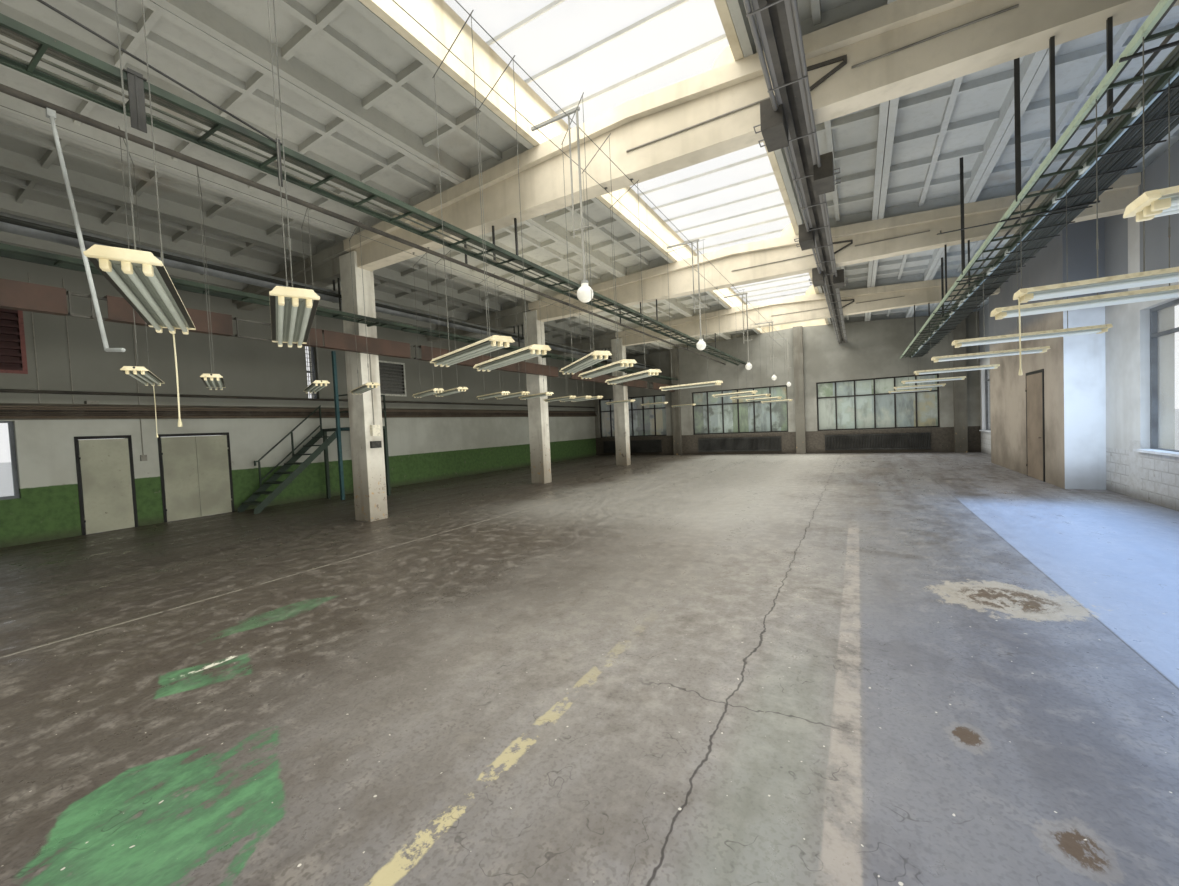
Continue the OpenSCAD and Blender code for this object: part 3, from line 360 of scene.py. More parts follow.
def hang_cord(name, top, rings):
    sway = [(0.003 * math.sin(math.radians(4 * k)), 0.002 * math.sin(math.radians(6 * k))) for k in range(rings + 1)]
    route = [Vector(top) + Vector((*aside, -CORD_STEP * k)) for k, aside in enumerate(sway)]
    curve = bpy.data.curves.new(name, "CURVE")
    curve.dimensions = "3D"
    curve.bevel_depth = CORD_RADIUS
    curve.bevel_resolution = 2
    curve.use_fill_caps = True
    line = curve.splines.new("POLY")
    line.points.add(rings)
    for spot, place in zip(line.points, route):
        spot.co = (*place, 1.0)
    curve.materials.append(cord_sheath)
    cord = bpy.data.objects.new(name, curve)
    link(cord)
    hand_over(cord, stands_for=(name,))
    knob = Shape(name + "_knob", cord_sheath)
    foot = route[-1] - Vector((0, 0, 0.05))
    knob.turned([(0, 0), (0.0085, 0.001), (0.011, 0.005), (0.0108, 0.016), (0.0085, 0.03), (0.006, 0.042),
                 (0.0058, 0.049), (0, 0.05)], foot)
    bell = knob.done("cord_plastic", stands_for=("pull_knobs",))
    length = sum((b - a).length for a, b in zip(route, route[1:]))
    return length


LAMP_MIDDLE_TO_CORD = 0.637


def lamp_left_end(x, y, turn):
    """Where a cord leaves a lamp that is turned by so many degrees."""
    angle = math.radians(turn)
    return x - LAMP_MIDDLE_TO_CORD * math.cos(angle), y - LAMP_MIDDLE_TO_CORD * math.sin(angle)


for name, (x, y, turn, z), rings in (
    ("pull_cord_near", (1.70, -8.08, -24, 2.61), 36),
    ("pull_cord_left", (-2.35, -6.94, -23, 2.70), 42),
    ("pull_cord_right", (6.27, -4.57, 0, 2.70), 34),
):
    print(name, round(hang_cord(name, (*lamp_left_end(x, y, turn), z), rings), 3), "m long")

# %% [markdown]
# Light
#
# Daylight reaches such a hall through the ridge skylight and the window bands. Soft area lamps stand just inside the
# glass, where a real pane would glow, and two wide weak ones stand for the light that floor and walls throw back.
# With those two, a few bounces are enough, which keeps the render short, and so do spatial splits, as many pieces are
# long and thin. The world lights the outside. Seen directly or through glass it is plain white.

# %% World and lamps
scene = bpy.context.scene
scene.view_settings.view_transform = "Standard"
scene.cycles.max_bounces = 6
scene.cycles.diffuse_bounces = 3
scene.cycles.glossy_bounces = 2
scene.cycles.debug_use_spatial_splits = True

world = bpy.data.worlds.new("pale_studio")
scene.world = world
world.use_nodes = True
sky = world.node_tree
sky.nodes.clear()


def background(colour, strength):
    node = sky.nodes.new("ShaderNodeBackground")
    node.inputs["Color"].default_value = colour
    node.inputs["Strength"].default_value = strength
    return node.outputs[0]


seen = sky.nodes.new("ShaderNodeLightPath")
either, through = sky.nodes.new("ShaderNodeMath"), sky.nodes.new("ShaderNodeMath")
either.operation = through.operation = "MAXIMUM"
pick = sky.nodes.new("ShaderNodeMixShader")
out = sky.nodes.new("ShaderNodeOutputWorld")
for start, end in (
    (seen.outputs["Is Camera Ray"], either.inputs[0]), (seen.outputs["Is Glossy Ray"], either.inputs[1]),
    (either.outputs[0], through.inputs[0]), (seen.outputs["Is Transmission Ray"], through.inputs[1]),
    (through.outputs[0], pick.inputs[0]), (background((0.93, 0.96, 1.0, 1.0), 0.75), pick.inputs[1]),
    (background((1.0, 1.0, 1.0, 1.0), 1.0), pick.inputs[2]), (pick.outputs[0], out.inputs["Surface"]),
):
    sky.links.new(start, end)


def soft_lamp(name, place, aim, size, watts, colour=(1.0, 1.0, 1.0), spread=180):
    """A rectangular lamp at place that shines towards aim, in a cone of spread degrees, and isn't seen itself."""
    data = bpy.data.lights.new(name, "AREA")
    data.shape = "RECTANGLE"
    data.size, data.size_y = size
    data.energy = watts
    data.color = colour
    data.spread = math.radians(spread)
    lamp = bpy.data.objects.new(name, data)
    lamp.location = place
    direction = Vector(aim) - Vector(place)
    lamp.rotation_euler = direction.to_track_quat("-Z", "Y").to_euler()
    lamp.visible_camera = False
    lamp.visible_glossy = False
    link(lamp)
    return lamp


lamps = [
    soft_lamp("skylight_glow", (2.075, 0, 6.70), (2.075, 0, 0), (2.6, 30.0), 1120, (1.0, 0.99, 0.95)),
    soft_lamp("sky_on_the_floor", (8.70, -6.0, 2.3), (7.0, -6.0, 0), (17.5, 2.2), 215, (0.42, 0.66, 1.0), 80),
    soft_lamp("right_windows_glow", (8.70, -6.0, 2.3), (-9.0, -6.0, 1.0), (17.5, 2.2), 170, (1.0, 1.0, 0.94), 60),
    soft_lamp("sky_by_the_recess", (7.6, 1.2, 2.3), (8.3, 4.4, 1.9), (1.0, 2.2), 27, (0.68, 0.83, 1.0), 100),
    soft_lamp("far_windows_glow", (2.0, 14.6, 2.4), (2.0, 0, 1.6), (11.0, 2.0), 330, (0.97, 1.0, 0.95)),
    soft_lamp("thrown_back_up", (1.7, 0, 0.23), (1.7, 0, 6.0), (9.6, 29.5), 940, (1.0, 1.0, 0.96)),
    soft_lamp("thrown_back_down", (2.0, 0, 4.9), (2.0, 0, 0.0), (8.0, 29.5), 370, (1.0, 0.99, 0.95)),
]
print("lamps", [lamp.name for lamp in lamps])

# %% [markdown]
# The floor
#
# Decades of wheels have darkened the slab, most of all towards the aisle. Paint marks are left from old gangways:
# three green fields, a worn yellow line, a pale line and a thin one, and two cracks and a joint cross it. Each mark is
# an area in metres, and noise eats its edge, so that it reads as worn paint and not as a sticker.


# %% Floor finish
GREEN_FIELDS = [
    ([(1.22, -8.18), (1.29, -8.41), (1.85, -8.75), (2.52, -8.30), (2.31, -7.95), (1.56, -7.62)], 0.9),
    ([(0.05, -7.69), (0.46, -7.85), (0.70, -7.38), (0.31, -7.21)], 0.75),
    ([(-0.59, -6.90), (-0.32, -7.35), (-0.14, -6.58), (-0.30, -6.08), (-0.52, -6.30)], 0.5),
]
# centre, half width, half length, and how clear the pale ring is
BROKEN_SPOTS = [(5.74, -3.60, 0.58, 0.50, 0.5), (5.08, -5.98, 0.11, 0.14, 0.1), (5.33, -6.58, 0.12, 0.17, 0.1)]
LONG_CRACK_X, CROSS_CRACK_Y, JOINT_X = 3.91, -6.22, 6.235
CRACK_COLOUR = (46, 42, 40)


def slab_dirt_and_daylight(f, cloud, fine, grit, track):
    """The bare slab: darker towards the aisle, with tracks along the hall, grit and paler ground where people walk.
    Right of the pale line it gets a painted bluish daylight tint.
    """
    side = f.ramp(f.x + (cloud - 0.5) * 6.0, -1.0, 9.5)
    colour = f.mix(side, (90, 83, 73), (138, 137, 141))
    colour = f.mix(f.ramp(track, 0.42, 0.66) * 0.6, colour, (80, 73, 66))
    colour = f.mix(f.ramp(fine, 0.46, 0.72) * 0.45, colour, (160, 153, 143))
    dirty = f.ramp(f.noise(1.7, 4, 0.65, shift=(3, 9, 0)), 0.50, 0.66)
    colour = f.mix(dirty * 0.5, colour, (82, 74, 66))
    colour = f.mix(f.ramp(grit, 0.48, 0.70) * 0.45, colour, (68, 62, 56))
    drift = f.x + (cloud - 0.5) * 3.0
    middle = f.between(drift, 1.5, 4.5, 1.1) * f.ramp(f.y, -8.8, -6.2) * 0.50
    colour = f.mix(middle * f.ramp(fine, 0.85, 0.25), colour, (190, 183, 172))
    beyond = f.between(drift, -2.2, 3.6, 1.0) * f.ramp(f.y, -3.2, -0.4) * 0.42
    colour = f.mix(beyond, colour, (188, 186, 178))
    greenish = f.between(f.x, 4.02, 4.42, 0.12) * f.ramp(f.y, -4.6, -6.4) * 0.28
    colour = f.mix(greenish, colour, (142, 150, 136))
    # Painted light: a bluish daylight tint right of the pale line, fading out towards the far end.
    return f.mix(f.ramp(f.x, 4.58, 4.64) * f.ramp(f.y, -2.0, -5.0) * 0.35, colour, (112, 118, 134))


def floor_paint(f, colour, fine):
    """Fields and lines, with eaten edges."""
    worn = f.noise(3.2, 5, 0.74, stretch=(1.0, 0.55, 1.0), shift=(1, 2, 0))
    eaten = f.ramp(worn, 0.62, 0.52)
    ragged = (fine - 0.5) * 0.07
    x_ragged, y_ragged = f.x + ragged, f.y + ragged
    green = f.mix(f.ramp(worn, 0.34, 0.55), (98, 148, 104), (80, 118, 86))
    for outline, strength in GREEN_FIELDS:
        colour = f.mix(f.inside(outline, 0.012, x_ragged, y_ragged) * eaten * strength, colour, green)
    worn_line = f.ramp(f.noise(4.5, 5, 0.75, shift=(5, 0, 0)), 0.46, 0.54)
    white = f.between(x_ragged, 0.225, 0.275, 0.008) * f.between(f.y, -7.68, -7.24, 0.02) * worn_line
    colour = f.mix(white, colour, (226, 222, 204))
    yellow = f.between(x_ragged, 2.955, 3.055, 0.008) * worn_line * f.ramp(f.y, -4.6, -8.0) * 0.85
    colour = f.mix(yellow, colour, (196, 184, 142))
    pale = f.between(f.x + ragged * 0.6, 4.46, 4.60, 0.008) * f.ramp(fine, 0.70, 0.40)
    colour = f.mix(pale * f.between(f.y, -7.4, -0.8, 0.4) * 0.6, colour, (176, 165, 153))
    thin = f.between(f.x, -1.66, -1.62, 0.006) * f.between(f.y, -15, 9, 0.1) * f.ramp(fine, 0.62, 0.5) * 0.75
    return f.mix(thin, colour, (168, 162, 148))


def floor_cracks(f, colour, fine):
    wander = (f.noise(1.8, 4, 0.65) - 0.5) * 0.16
    long_crack = f.ramp(abs(f.x + wander - LONG_CRACK_X), 0.010, 0.003)
    cross_crack = f.ramp(abs(f.y + wander * 2.0 - CROSS_CRACK_Y), 0.009, 0.003) * f.between(f.x, 3.35, 4.5, 0.15) * 0.8
    joint = f.ramp(abs(f.x - JOINT_X), 0.008, 0.003) * 0.6
    small = f.ramp(abs(f.noise(0.55, 5, 0.6, shift=(8, 5, 0)) - 0.5), 0.0022, 0.0006) * f.ramp(fine, 0.40, 0.60) * 0.6
    return f.mix(f.most(f.most(long_crack, cross_crack), f.most(joint, small)) * 0.8, colour, CRACK_COLOUR)


def broken_spots(f, colour):
    """Places where the screed has broken out, with a pale ring and a brown core."""
    shredded = f.noise(6.0, 5, 0.78, stretch=(1.0, 0.6, 1.0))
    for x, y, half_width, half_length, ring in BROKEN_SPOTS:
        across, along = (f.x - x) * (1.0 / half_width), (f.y - y) * (1.0 / half_length)
        reach = f.math("SQRT", across * across + along * along) + (shredded - 0.5) * 1.4
        colour = f.mix(f.ramp(reach, 1.0, 0.85) * ring, colour, (198, 184, 160))
        core = f.ramp(reach, 0.70, 0.55) * f.ramp(shredded, 0.44, 0.52)
        colour = f.mix(core * 0.85, colour, (86, 68, 50))
    return colour


def floor_finish():
    f = Finish("worn_floor", 0.62, flat=True)
    cloud = f.noise(0.35, 4, 0.6)
    fine = f.noise(5.0, 5, 0.7)
    grit = f.noise(38.0, 1, 0.7)
    track = f.noise(1.6, 4, 0.68, stretch=(1.0, 0.15, 1.0))
    colour = floor_paint(f, slab_dirt_and_daylight(f, cloud, fine, grit, track), fine)
    # Painted light: bluish daylight from the windows laid on the floor towards the right wall, stronger past the joint.
    painted_window_light = f.ramp(f.x, 6.235, 6.26) * 0.4 + f.ramp(f.x, 5.2, 7.2) * 0.3
    colour = f.mix(painted_window_light * f.between(f.y, -6.5, 2.2, 0.8), colour, (168, 182, 208))
    colour = broken_spots(f, floor_cracks(f, colour, fine))
    colour = f.mix(f.ramp(f.noise(24.0, 1, 0.5, shift=(4, 4, 4)), 0.83, 0.85), colour, (206, 200, 188))
    f.relief(fine * 0.5 + grit * 0.25, 0.35, 0.012)
    return f.done(colour, f.ramp(fine * 0.6 + track * 0.4, 0.05, 1.0))


dress(floor_finish(), "floor_slab")
print("floor dressed")

# %% [markdown]
# Concrete frame and roof
#
# Columns and beams were limewashed and painted cream. Soot has settled on them in clouds, water has run down in
# streaks, and trucks have scraped the feet of the columns. The ribbed panels are greyer, browner where damp came
# through, and each panel has its own shade, which a noise on whole panel numbers gives.


# %% Frame and roof finishes
def limewashed(name, colour, dark, stain, foot=0.0, streaks=0.5):
    """foot is how strongly the lowest two metres are stained."""
    f = Finish(name, 0.85)
    cloud = f.noise(0.8, 4, 0.62)
    fine = f.noise(11.0, 3, 0.7)
    run = f.noise(3.0, 3, 0.6, stretch=(1.0, 1.0, 0.1))
    shade = f.mix(f.ramp(cloud, 0.38, 0.70), colour, dark)
    shade = f.mix(f.ramp(run, 0.50, 0.72) * streaks, shade, stain)
    shade = f.mix(f.ramp(fine, 0.48, 0.78) * 0.3, shade, dark)
    if foot:
        low = f.z + (cloud - 0.5) * 1.6
        shade = f.mix(f.ramp(low, 1.9, 0.5) * foot, shade, stain)
        bare = f.ramp(f.noise(4.0, 5, 0.75, shift=(2, 2, 2)), 0.60, 0.66) * f.ramp(low, 2.6, 1.2)
        shade = f.mix(bare, shade, (116, 104, 92))
        peeled = f.ramp(f.noise(5.5, 5, 0.75, shift=(7, 3, 5)), 0.60, 0.64) * f.ramp(low, 1.6, 0.7)
        shade = f.mix(peeled, shade, (178, 148, 108))
    chips = f.ramp(f.noise(6.0, 5, 0.75, shift=(9, 1, 4)), 0.72, 0.76)
    f.relief(fine, 0.3, 0.008)
    return f.done(f.mix(chips, shade, stain))


for *look, wearer in (
    ("limewashed_columns", (222, 219, 206), (180, 175, 162), (124, 110, 90), 0.6, 0.5, "interior_columns"),
    ("gable_columns_paint", (122, 119, 109), (100, 97, 88), (80, 74, 64), 0.5, 0.5, "gable_columns"),
    ("cream_beams", (214, 204, 183), (190, 181, 161), (148, 139, 119), 0.0, 0.3, "nave_beams"),
    ("grey_beams", (158, 156, 144), (134, 131, 120), (108, 102, 90), 0.0, 0.4, "aisle_beams"),
    ("cream_curbs", (216, 206, 182), (194, 183, 156), (164, 146, 114), 0.0, 0.4, "skylight_curbs"),
):
    dress(limewashed(*look), wearer)

PANEL_WIDTH, BAY = 1.5, 6.0


def ceiling_finish():
    f = Finish("sooty_panels", 0.88)
    cloud = f.noise(0.45, 4, 0.62)
    fine = f.noise(9.0, 3, 0.7)
    own = f.drawn_for(f.math("FLOOR", (f.x - 0.575) * (1 / PANEL_WIDTH)), f.math("FLOOR", (f.y + 15.0) * (1 / BAY)))
    colour = f.mix(own, (192, 191, 182), (176, 175, 165))
    colour = f.mix(f.ramp(cloud, 0.35, 0.70) * 0.7, colour, (156, 156, 148))
    # Painted light: bluish grey and then pale bluish white towards the right windows, for their daylight on the panels.
    colour = f.mix(f.ramp(f.x, 3.8, 7.0) * 0.6, colour, (180, 188, 198))
    colour = f.mix(f.ramp(f.x, 5.6, 8.0) * 0.6, colour, (222, 232, 240))
    over_nave = f.between(f.x, -4.4, -0.4, 0.6) * f.ramp(f.y, -4.0, 1.0) * 0.6
    colour = f.mix(over_nave, colour, (226, 222, 204))
    colour = f.mix(f.ramp(f.x, -4.4, -5.0) * 0.4, colour, (132, 132, 120))
    damp = f.ramp(f.noise(0.55, 3, 0.7, shift=(4, 8, 0)), 0.60, 0.76)
    colour = f.mix(damp * 0.4, colour, (132, 114, 90))
    f.relief(fine, 0.25, 0.006)
    return f.done(f.mix(f.ramp(fine, 0.45, 0.8) * 0.25, colour, (136, 132, 124)))


def felt_finish():
    """Sheets of felt a metre wide, lapped one over the next up the slope."""
    f = Finish("mineral_felt", 0.93)
    cloud = f.noise(0.5, 3, 0.6)
    grit = f.noise(60.0, 1, 0.7)
    strip = f.math("FRACT", (f.y + cloud * 0.05) * 1.0)
    colour = f.mix(f.ramp(cloud, 0.35, 0.7), (94, 94, 92), (74, 74, 74))
    colour = f.mix(f.ramp(grit, 0.5, 0.7) * 0.4, colour, (118, 116, 112))
    f.relief(grit * 0.3 + f.ramp(strip, 0.0, 0.12), 0.5, 0.006)
    return f.done(f.mix(f.ramp(strip, 0.03, 0.01), colour, (52, 52, 52)))


dress(ceiling_finish(), "roof_panels_left", "roof_panels_right")
dress(felt_finish(), "roof_covering")
dress(old_paint("edge_sheet", (140, 144, 148), (112, 114, 116), (120, 96, 76), 0.5, 0.3), "roof_edge")
print("frame and roof dressed")

# %% [markdown]
# Walls
#
# Inside, the left wall and its columns are grey-white above a green dado that ends at breast height. The far gable is
# darker, and the right side is pale from the daylight. Outside, all of them carry one plain render above a grey
# plinth. Where the outside starts is a matter of place, so one finish serves both faces of a wall.


# %% Wall finishes
SOOT = (98, 97, 88)
WET_FOOT = (72, 66, 58)
BLOCK_LENGTH, BLOCK_HEIGHT = 0.39, 0.19


def outer_render(f, cloud, run=None):
    """Beige render, streaked where a run is given, over a grey plinth."""
    coat = f.mix(f.ramp(cloud, 0.35, 0.7), (196, 190, 176), (172, 165, 150))
    if run:
        coat = f.mix(f.ramp(run, 0.5, 0.75) * 0.4, coat, (146, 138, 124))
    return f.mix(f.ramp(f.z, 0.72, 0.68), coat, (118, 114, 108))


def blocks_shade_and_light(f, shade, dado, fine):
    """Joints of painted blocks below the dado's edge, painted blue-grey shade above the window heads, and painted
    light on the reveals.
    """
    row = f.z * (1 / BLOCK_HEIGHT)
    along = f.math("FRACT", f.y * (1 / BLOCK_LENGTH) + f.math("FLOOR", row) * 0.5)
    joints = f.most(f.ramp(f.math("FRACT", row), 0.15, 0.05), f.ramp(along, 0.075, 0.025))
    joints = joints * f.ramp(f.z, dado + 0.01, dado - 0.01) * f.ramp(fine, 0.75, 0.3)
    shade = f.mix(joints * 0.55, shade, (112, 108, 102))
    # Painted shade: blue-grey on the wall above the window heads.
    shade = f.mix(f.ramp(f.z, 3.55, 4.05) * 0.85, shade, (112, 117, 124))
    # Painted light: faces that look along the hall, the window reveals, turn near white.
    return f.mix(f.ramp(abs(f.facing()[1]), 0.5, 0.9), shade, (236, 240, 246)), joints


def wall_finish(name, paint, dado, outside, across=None, sooty=0.0, blocks=False):
    """paint is four colours: the upper part and its dark clouds, the lower part and its dark spots. dado is the height
    of the edge between them, and outside the test for the outer face. across gives the paint of the other side of
    the hall, for a node that stands on both. sooty darkens the wall above the cable tray."""
    f = Finish(name, 0.82)
    cloud = f.noise(0.6, 4, 0.62)
    fine = f.noise(10.0, 3, 0.7)
    run = f.noise(2.2, 3, 0.6, stretch=(1.0, 1.0, 0.12))
    if across:
        right = f.ramp(f.x, -1.0, 1.0)
        paint = [f.mix(right, a, b) for a, b in zip(paint, across)]
    upper, upper_dark, lower, lower_dark = paint
    shade = f.mix(f.ramp(cloud, 0.36, 0.68), upper, upper_dark)
    shade = f.mix(f.ramp(run, 0.52, 0.74) * 0.45, shade, upper_dark)
    if sooty:
        above_tray = f.ramp(f.z, 2.70, 2.95) * sooty
        shade = f.mix(above_tray * f.ramp(f.x, 1.0, -1.0) if across else above_tray, shade, SOOT)
    edge = f.z + (fine - 0.5) * 0.03
    base = f.mix(f.ramp(fine, 0.35, 0.75), lower, lower_dark)
    shade = f.mix(f.ramp(edge, dado + 0.01, dado - 0.01), shade, base)
    height = fine
    # Block joints, with painted shade above the windows and painted light on the reveals.
    if blocks:
        shade, joints = blocks_shade_and_light(f, shade, dado, fine)
        height = fine - joints
    scuffed = f.ramp(f.noise(3.5, 5, 0.75, shift=(6, 2, 1)), 0.62, 0.68) * f.ramp(f.z, 2.2, 0.9)
    shade = f.mix(scuffed * 0.6, shade, (128, 120, 108))
    shade = f.mix(f.ramp(f.z, 0.45, 0.22) * 0.6, shade, WET_FOOT)
    f.relief(height, 0.3, 0.008)
    return f.done(f.mix(outside(f), shade, outer_render(f, cloud, run)))


def porch_finish():
    """Beige towards the hall, painted light in bluish white on the end that the windows light, painted shade above
    the window heads, and render in the open recess.
    """
    f = Finish("porch_paint", 0.82)
    cloud = f.noise(0.7, 4, 0.62)
    fine = f.noise(10.0, 3, 0.7)
    run = f.noise(2.4, 3, 0.6, stretch=(1.0, 1.0, 0.12))
    hall_side = f.mix(f.ramp(cloud, 0.36, 0.70), (166, 156, 143), (126, 117, 106))
    bright = f.mix(f.ramp(cloud, 0.4, 0.75), (226, 231, 238), (198, 202, 208))
    # Painted light: faces turned to -Y, towards the nearer windows, get bluish white.
    shade = f.mix(f.ramp(f.facing()[1], -0.5, -0.9), hall_side, bright)
    # Painted shade: blue-grey above the window heads.
    shade = f.mix(f.ramp(f.z, 3.7, 4.1) * 0.9, shade, (104, 108, 114))
    shade = f.mix(f.ramp(run, 0.52, 0.74) * 0.3, shade, (138, 130, 120))
    shade = f.mix(f.ramp(f.z, 0.9, 0.25) * 0.5, shade, (96, 86, 74))
    recess = f.ramp(f.x, 8.555, 8.575) * f.between(f.y, 4.39, 9.91, 0.01)
    f.relief(fine, 0.3, 0.008)
    return f.done(f.mix(f.most(recess, f.ramp(f.x, 9.05, 9.15)), shade, outer_render(f, cloud)))


def beyond_side_walls(f):
    return f.most(f.ramp(f.x, -9.0, -9.1), f.ramp(f.x, 9.05, 9.15))


def beyond_gable(end):
    """The test for the outer faces of the gable wall at one end of the hall, 1 or -1."""
    return lambda f: f.most(f.ramp(f.y, end * 15.1, end * 15.2), beyond_side_walls(f))


LEFT_PAINT = ((192, 193, 182), (172, 172, 160), (86, 112, 66), (70, 93, 56))
RIGHT_PAINT = ((198, 199, 198), (174, 173, 170), (194, 195, 196), (178, 177, 175))
FAR_PAINT = ((162, 161, 152), (134, 132, 123), (92, 86, 77), (70, 65, 58))
NEAR_PAINT = ((142, 138, 130), (114, 110, 102), (92, 86, 76), (70, 64, 56))
LEFT_DADO, GABLE_DADO, RIGHT_DADO = 1.24, 1.25, 1.05
dress(wall_finish("left_wall_paint", LEFT_PAINT, LEFT_DADO, lambda f: f.ramp(f.x, -9.0, -9.1), sooty=0.8),
      "left_wall_south", "left_wall_north", "left_wall_over_doors")
dress(wall_finish("wall_column_paint", LEFT_PAINT, LEFT_DADO, beyond_side_walls, RIGHT_PAINT, 0.8), "wall_columns")
dress(wall_finish("far_gable_paint", FAR_PAINT, GABLE_DADO, beyond_gable(1), sooty=0.45), "far_gable_wall")
dress(wall_finish("near_gable_paint", NEAR_PAINT, GABLE_DADO, beyond_gable(-1)), "near_gable_wall")
dress(wall_finish("right_wall_paint", RIGHT_PAINT, RIGHT_DADO, beyond_side_walls, blocks=True), "right_wall")
dress(porch_finish(), "porch_walls", "porch_wall_over_door")
print("walls dressed")

# %% [markdown]
# Glass
#
# The skylight is wired glass full of daylight, the gables have dull greenish panes, the upper ones paler, and the side
# windows are clear. Light has to pass through them, so they are thin see-through sheets with a soft gloss and dirt.


# %% Glass finishes
PANE_WIDTH = 0.76


def pane_finish(name, colour, dirty, opacity, roughness, dirt, upper=None, own=()):
    """upper is the shade of the top row of panes. own is a few shades, of which each pane gets one."""
    f = Finish(name, roughness)
    streak = f.noise(2.0, 4, 0.6, stretch=(1.0, 1.0, 0.3))
    f.feed(f.shader.inputs["Alpha"], opacity)
    f.shader.inputs["Coat Weight"].default_value = 0.3
    if upper:
        top_row = f.ramp(f.z, 2.76, 2.80)
        colour = f.mix(top_row, colour, upper)
        colour = f.mix(f.ramp(f.x, 2.2, 2.6) * 0.60, colour, (208, 216, 202))
        drawn = f.drawn_for(f.math("FLOOR", (f.x + 0.15) * (1 / PANE_WIDTH)), top_row)
        beyond = f.noise(1.6, 3, 0.6)
        for k, shade in enumerate(own):
            low = (k + 0.5) / (len(own) + 0.5)
            colour = f.mix(f.ramp(drawn, low, low + 0.01) * f.ramp(beyond, 0.35, 0.60), colour, shade)
    return f.done(f.mix(f.ramp(streak, 0.45, 0.75) * dirt, colour, dirty))


dress(pane_finish("wired_roof_glass", (240, 243, 244), (214, 216, 210), 0.10, 0.25, 0.5), "skylight_glass")
dress(pane_finish("dull_gable_glass", (104, 112, 102), (78, 85, 75), 0.74, 0.35, 0.8, (156, 174, 150),
                  ((132, 150, 120), (178, 192, 184), (150, 164, 160), (176, 170, 130))),
      "window_glass_gable")
dress(pane_finish("clear_side_glass", (226, 234, 240), (204, 210, 212), 0.10, 0.08, 0.4), "window_glass_side")
print("glass dressed")

# %% [markdown]
# Metal, doors and services
#
# What hangs under the roof is dull painted steel in a few colours. The same maker gives each its own soot and chips.

# %% Paint finishes
BARE_STEEL = (96, 82, 70)
dark_steel = old_paint("dark_steel_paint", (62, 62, 59), (40, 40, 38), BARE_STEEL)
thin_steel = old_paint("thin_steel_paint", (112, 112, 104), (84, 84, 78), BARE_STEEL)
black_paint = old_paint("black_frame_paint", (44, 44, 42), (28, 28, 27), BARE_STEEL, wear=0.72)
dress(dark_steel, "service_hangers", "lamp_carriers", "lamp_rods", "radiators")
dress(black_paint, "door_frames")
for *look, wearers in (
    # Near white as painted light, for the bars' undersides that the lamps above the glass leave dark.
    ("glazing_bar_paint", (236, 236, 232), (214, 214, 210), (180, 174, 164), ["skylight_bars"]),
    ("gable_frame_paint", (50, 48, 44), (34, 32, 30), BARE_STEEL, ["window_frames_gable"]),
    ("grey_frame_paint", (116, 120, 124), (88, 90, 92), BARE_STEEL, ["window_frames_side"]),
    ("brown_casing_paint", (78, 60, 50), (58, 47, 40), (50, 41, 36), ["row_trunking"]),
    ("pale_bracket_paint", (166, 170, 166), (122, 124, 120), BARE_STEEL, ["drop_arm"]),
    ("rail_paint", (92, 90, 82), (62, 60, 54), BARE_STEEL, ["trunking_rails"]),
    ("dark_green_paint", (54, 66, 54), (34, 40, 35), BARE_STEEL, ["cable_ladder_left", "row_ladder"]),
    ("aisle_pipe_paint", (58, 60, 54), (38, 40, 36), BARE_STEEL, ["aisle_pipes"]),
    ("pipe_paint", (74, 70, 62), (46, 44, 40), BARE_STEEL, ["pipes"]),
    ("tray_paint", (106, 99, 84), (72, 68, 58), BARE_STEEL, ["wall_cable_tray"]),
    ("busbar_paint", (84, 80, 73), (52, 50, 46), BARE_STEEL, ["busbar"]),
    ("conduit_paint", (142, 138, 126), (108, 104, 94), BARE_STEEL, ["beam_conduits"]),
    ("stair_paint", (60, 72, 62), (38, 46, 40), BARE_STEEL, ["stair_treads", "stair_railing"]),
):
    dress(old_paint(*look), *wearers)
dress(old_paint("door_paint", (172, 172, 151), (150, 149, 131), (108, 103, 88), scale=4.0),
      "side_door", "double_door_left_leaf", "double_door_right_leaf")
dress(old_paint("porch_door_paint", (140, 126, 110), (116, 103, 90), (92, 80, 68), scale=4.0), "porch_door")
dress(old_paint("sill_paint", (222, 226, 232), (190, 192, 196), (160, 156, 150), 0.45), "window_sills")
dress(old_paint("galvanised_duct", (188, 192, 194), (140, 142, 142), (110, 104, 98), 0.38, 0.6), "air_duct")
print("paints mixed")

# %% [markdown]
# Nodes of two colours
#
# Some nodes hold pieces that were painted apart: the two louvres, the stair's frame with its tall teal post, and the
# bundled cables. Their finishes ask for the place, and the cables get one shade for each strand.


# %% Finishes that ask for the place
def louvre_finish():
    f = Finish("louvre_paint", 0.6)
    fine = f.noise(18.0, 3, 0.65)
    second = f.ramp(f.y, -0.2, 0.2)
    face = f.mix(second, (120, 76, 70), (196, 196, 184))
    # Painted shade: the parts behind the face plane are darker than the face.
    back_in_shade = f.mix(second, (64, 42, 40), (106, 106, 100))
    colour = f.mix(f.ramp(f.x, -8.885, -8.875), back_in_shade, face)
    f.relief(fine, 0.25, 0.004)
    return f.done(f.mix(f.ramp(fine, 0.45, 0.75) * 0.5, colour, (44, 38, 35)))


def stair_frame_finish():
    f = Finish("stair_frame_paint", 0.55)
    fine = f.noise(14.0, 3, 0.65)
    tall = f.between(f.y, -1.45, -1.335, 0.005) * f.ramp(f.x, -7.83, -7.82)
    colour = f.mix(tall, (60, 72, 62), (66, 100, 104))
    f.relief(fine, 0.25, 0.004)
    return f.done(f.mix(f.ramp(fine, 0.45, 0.8) * 0.5, colour, (30, 36, 36)))


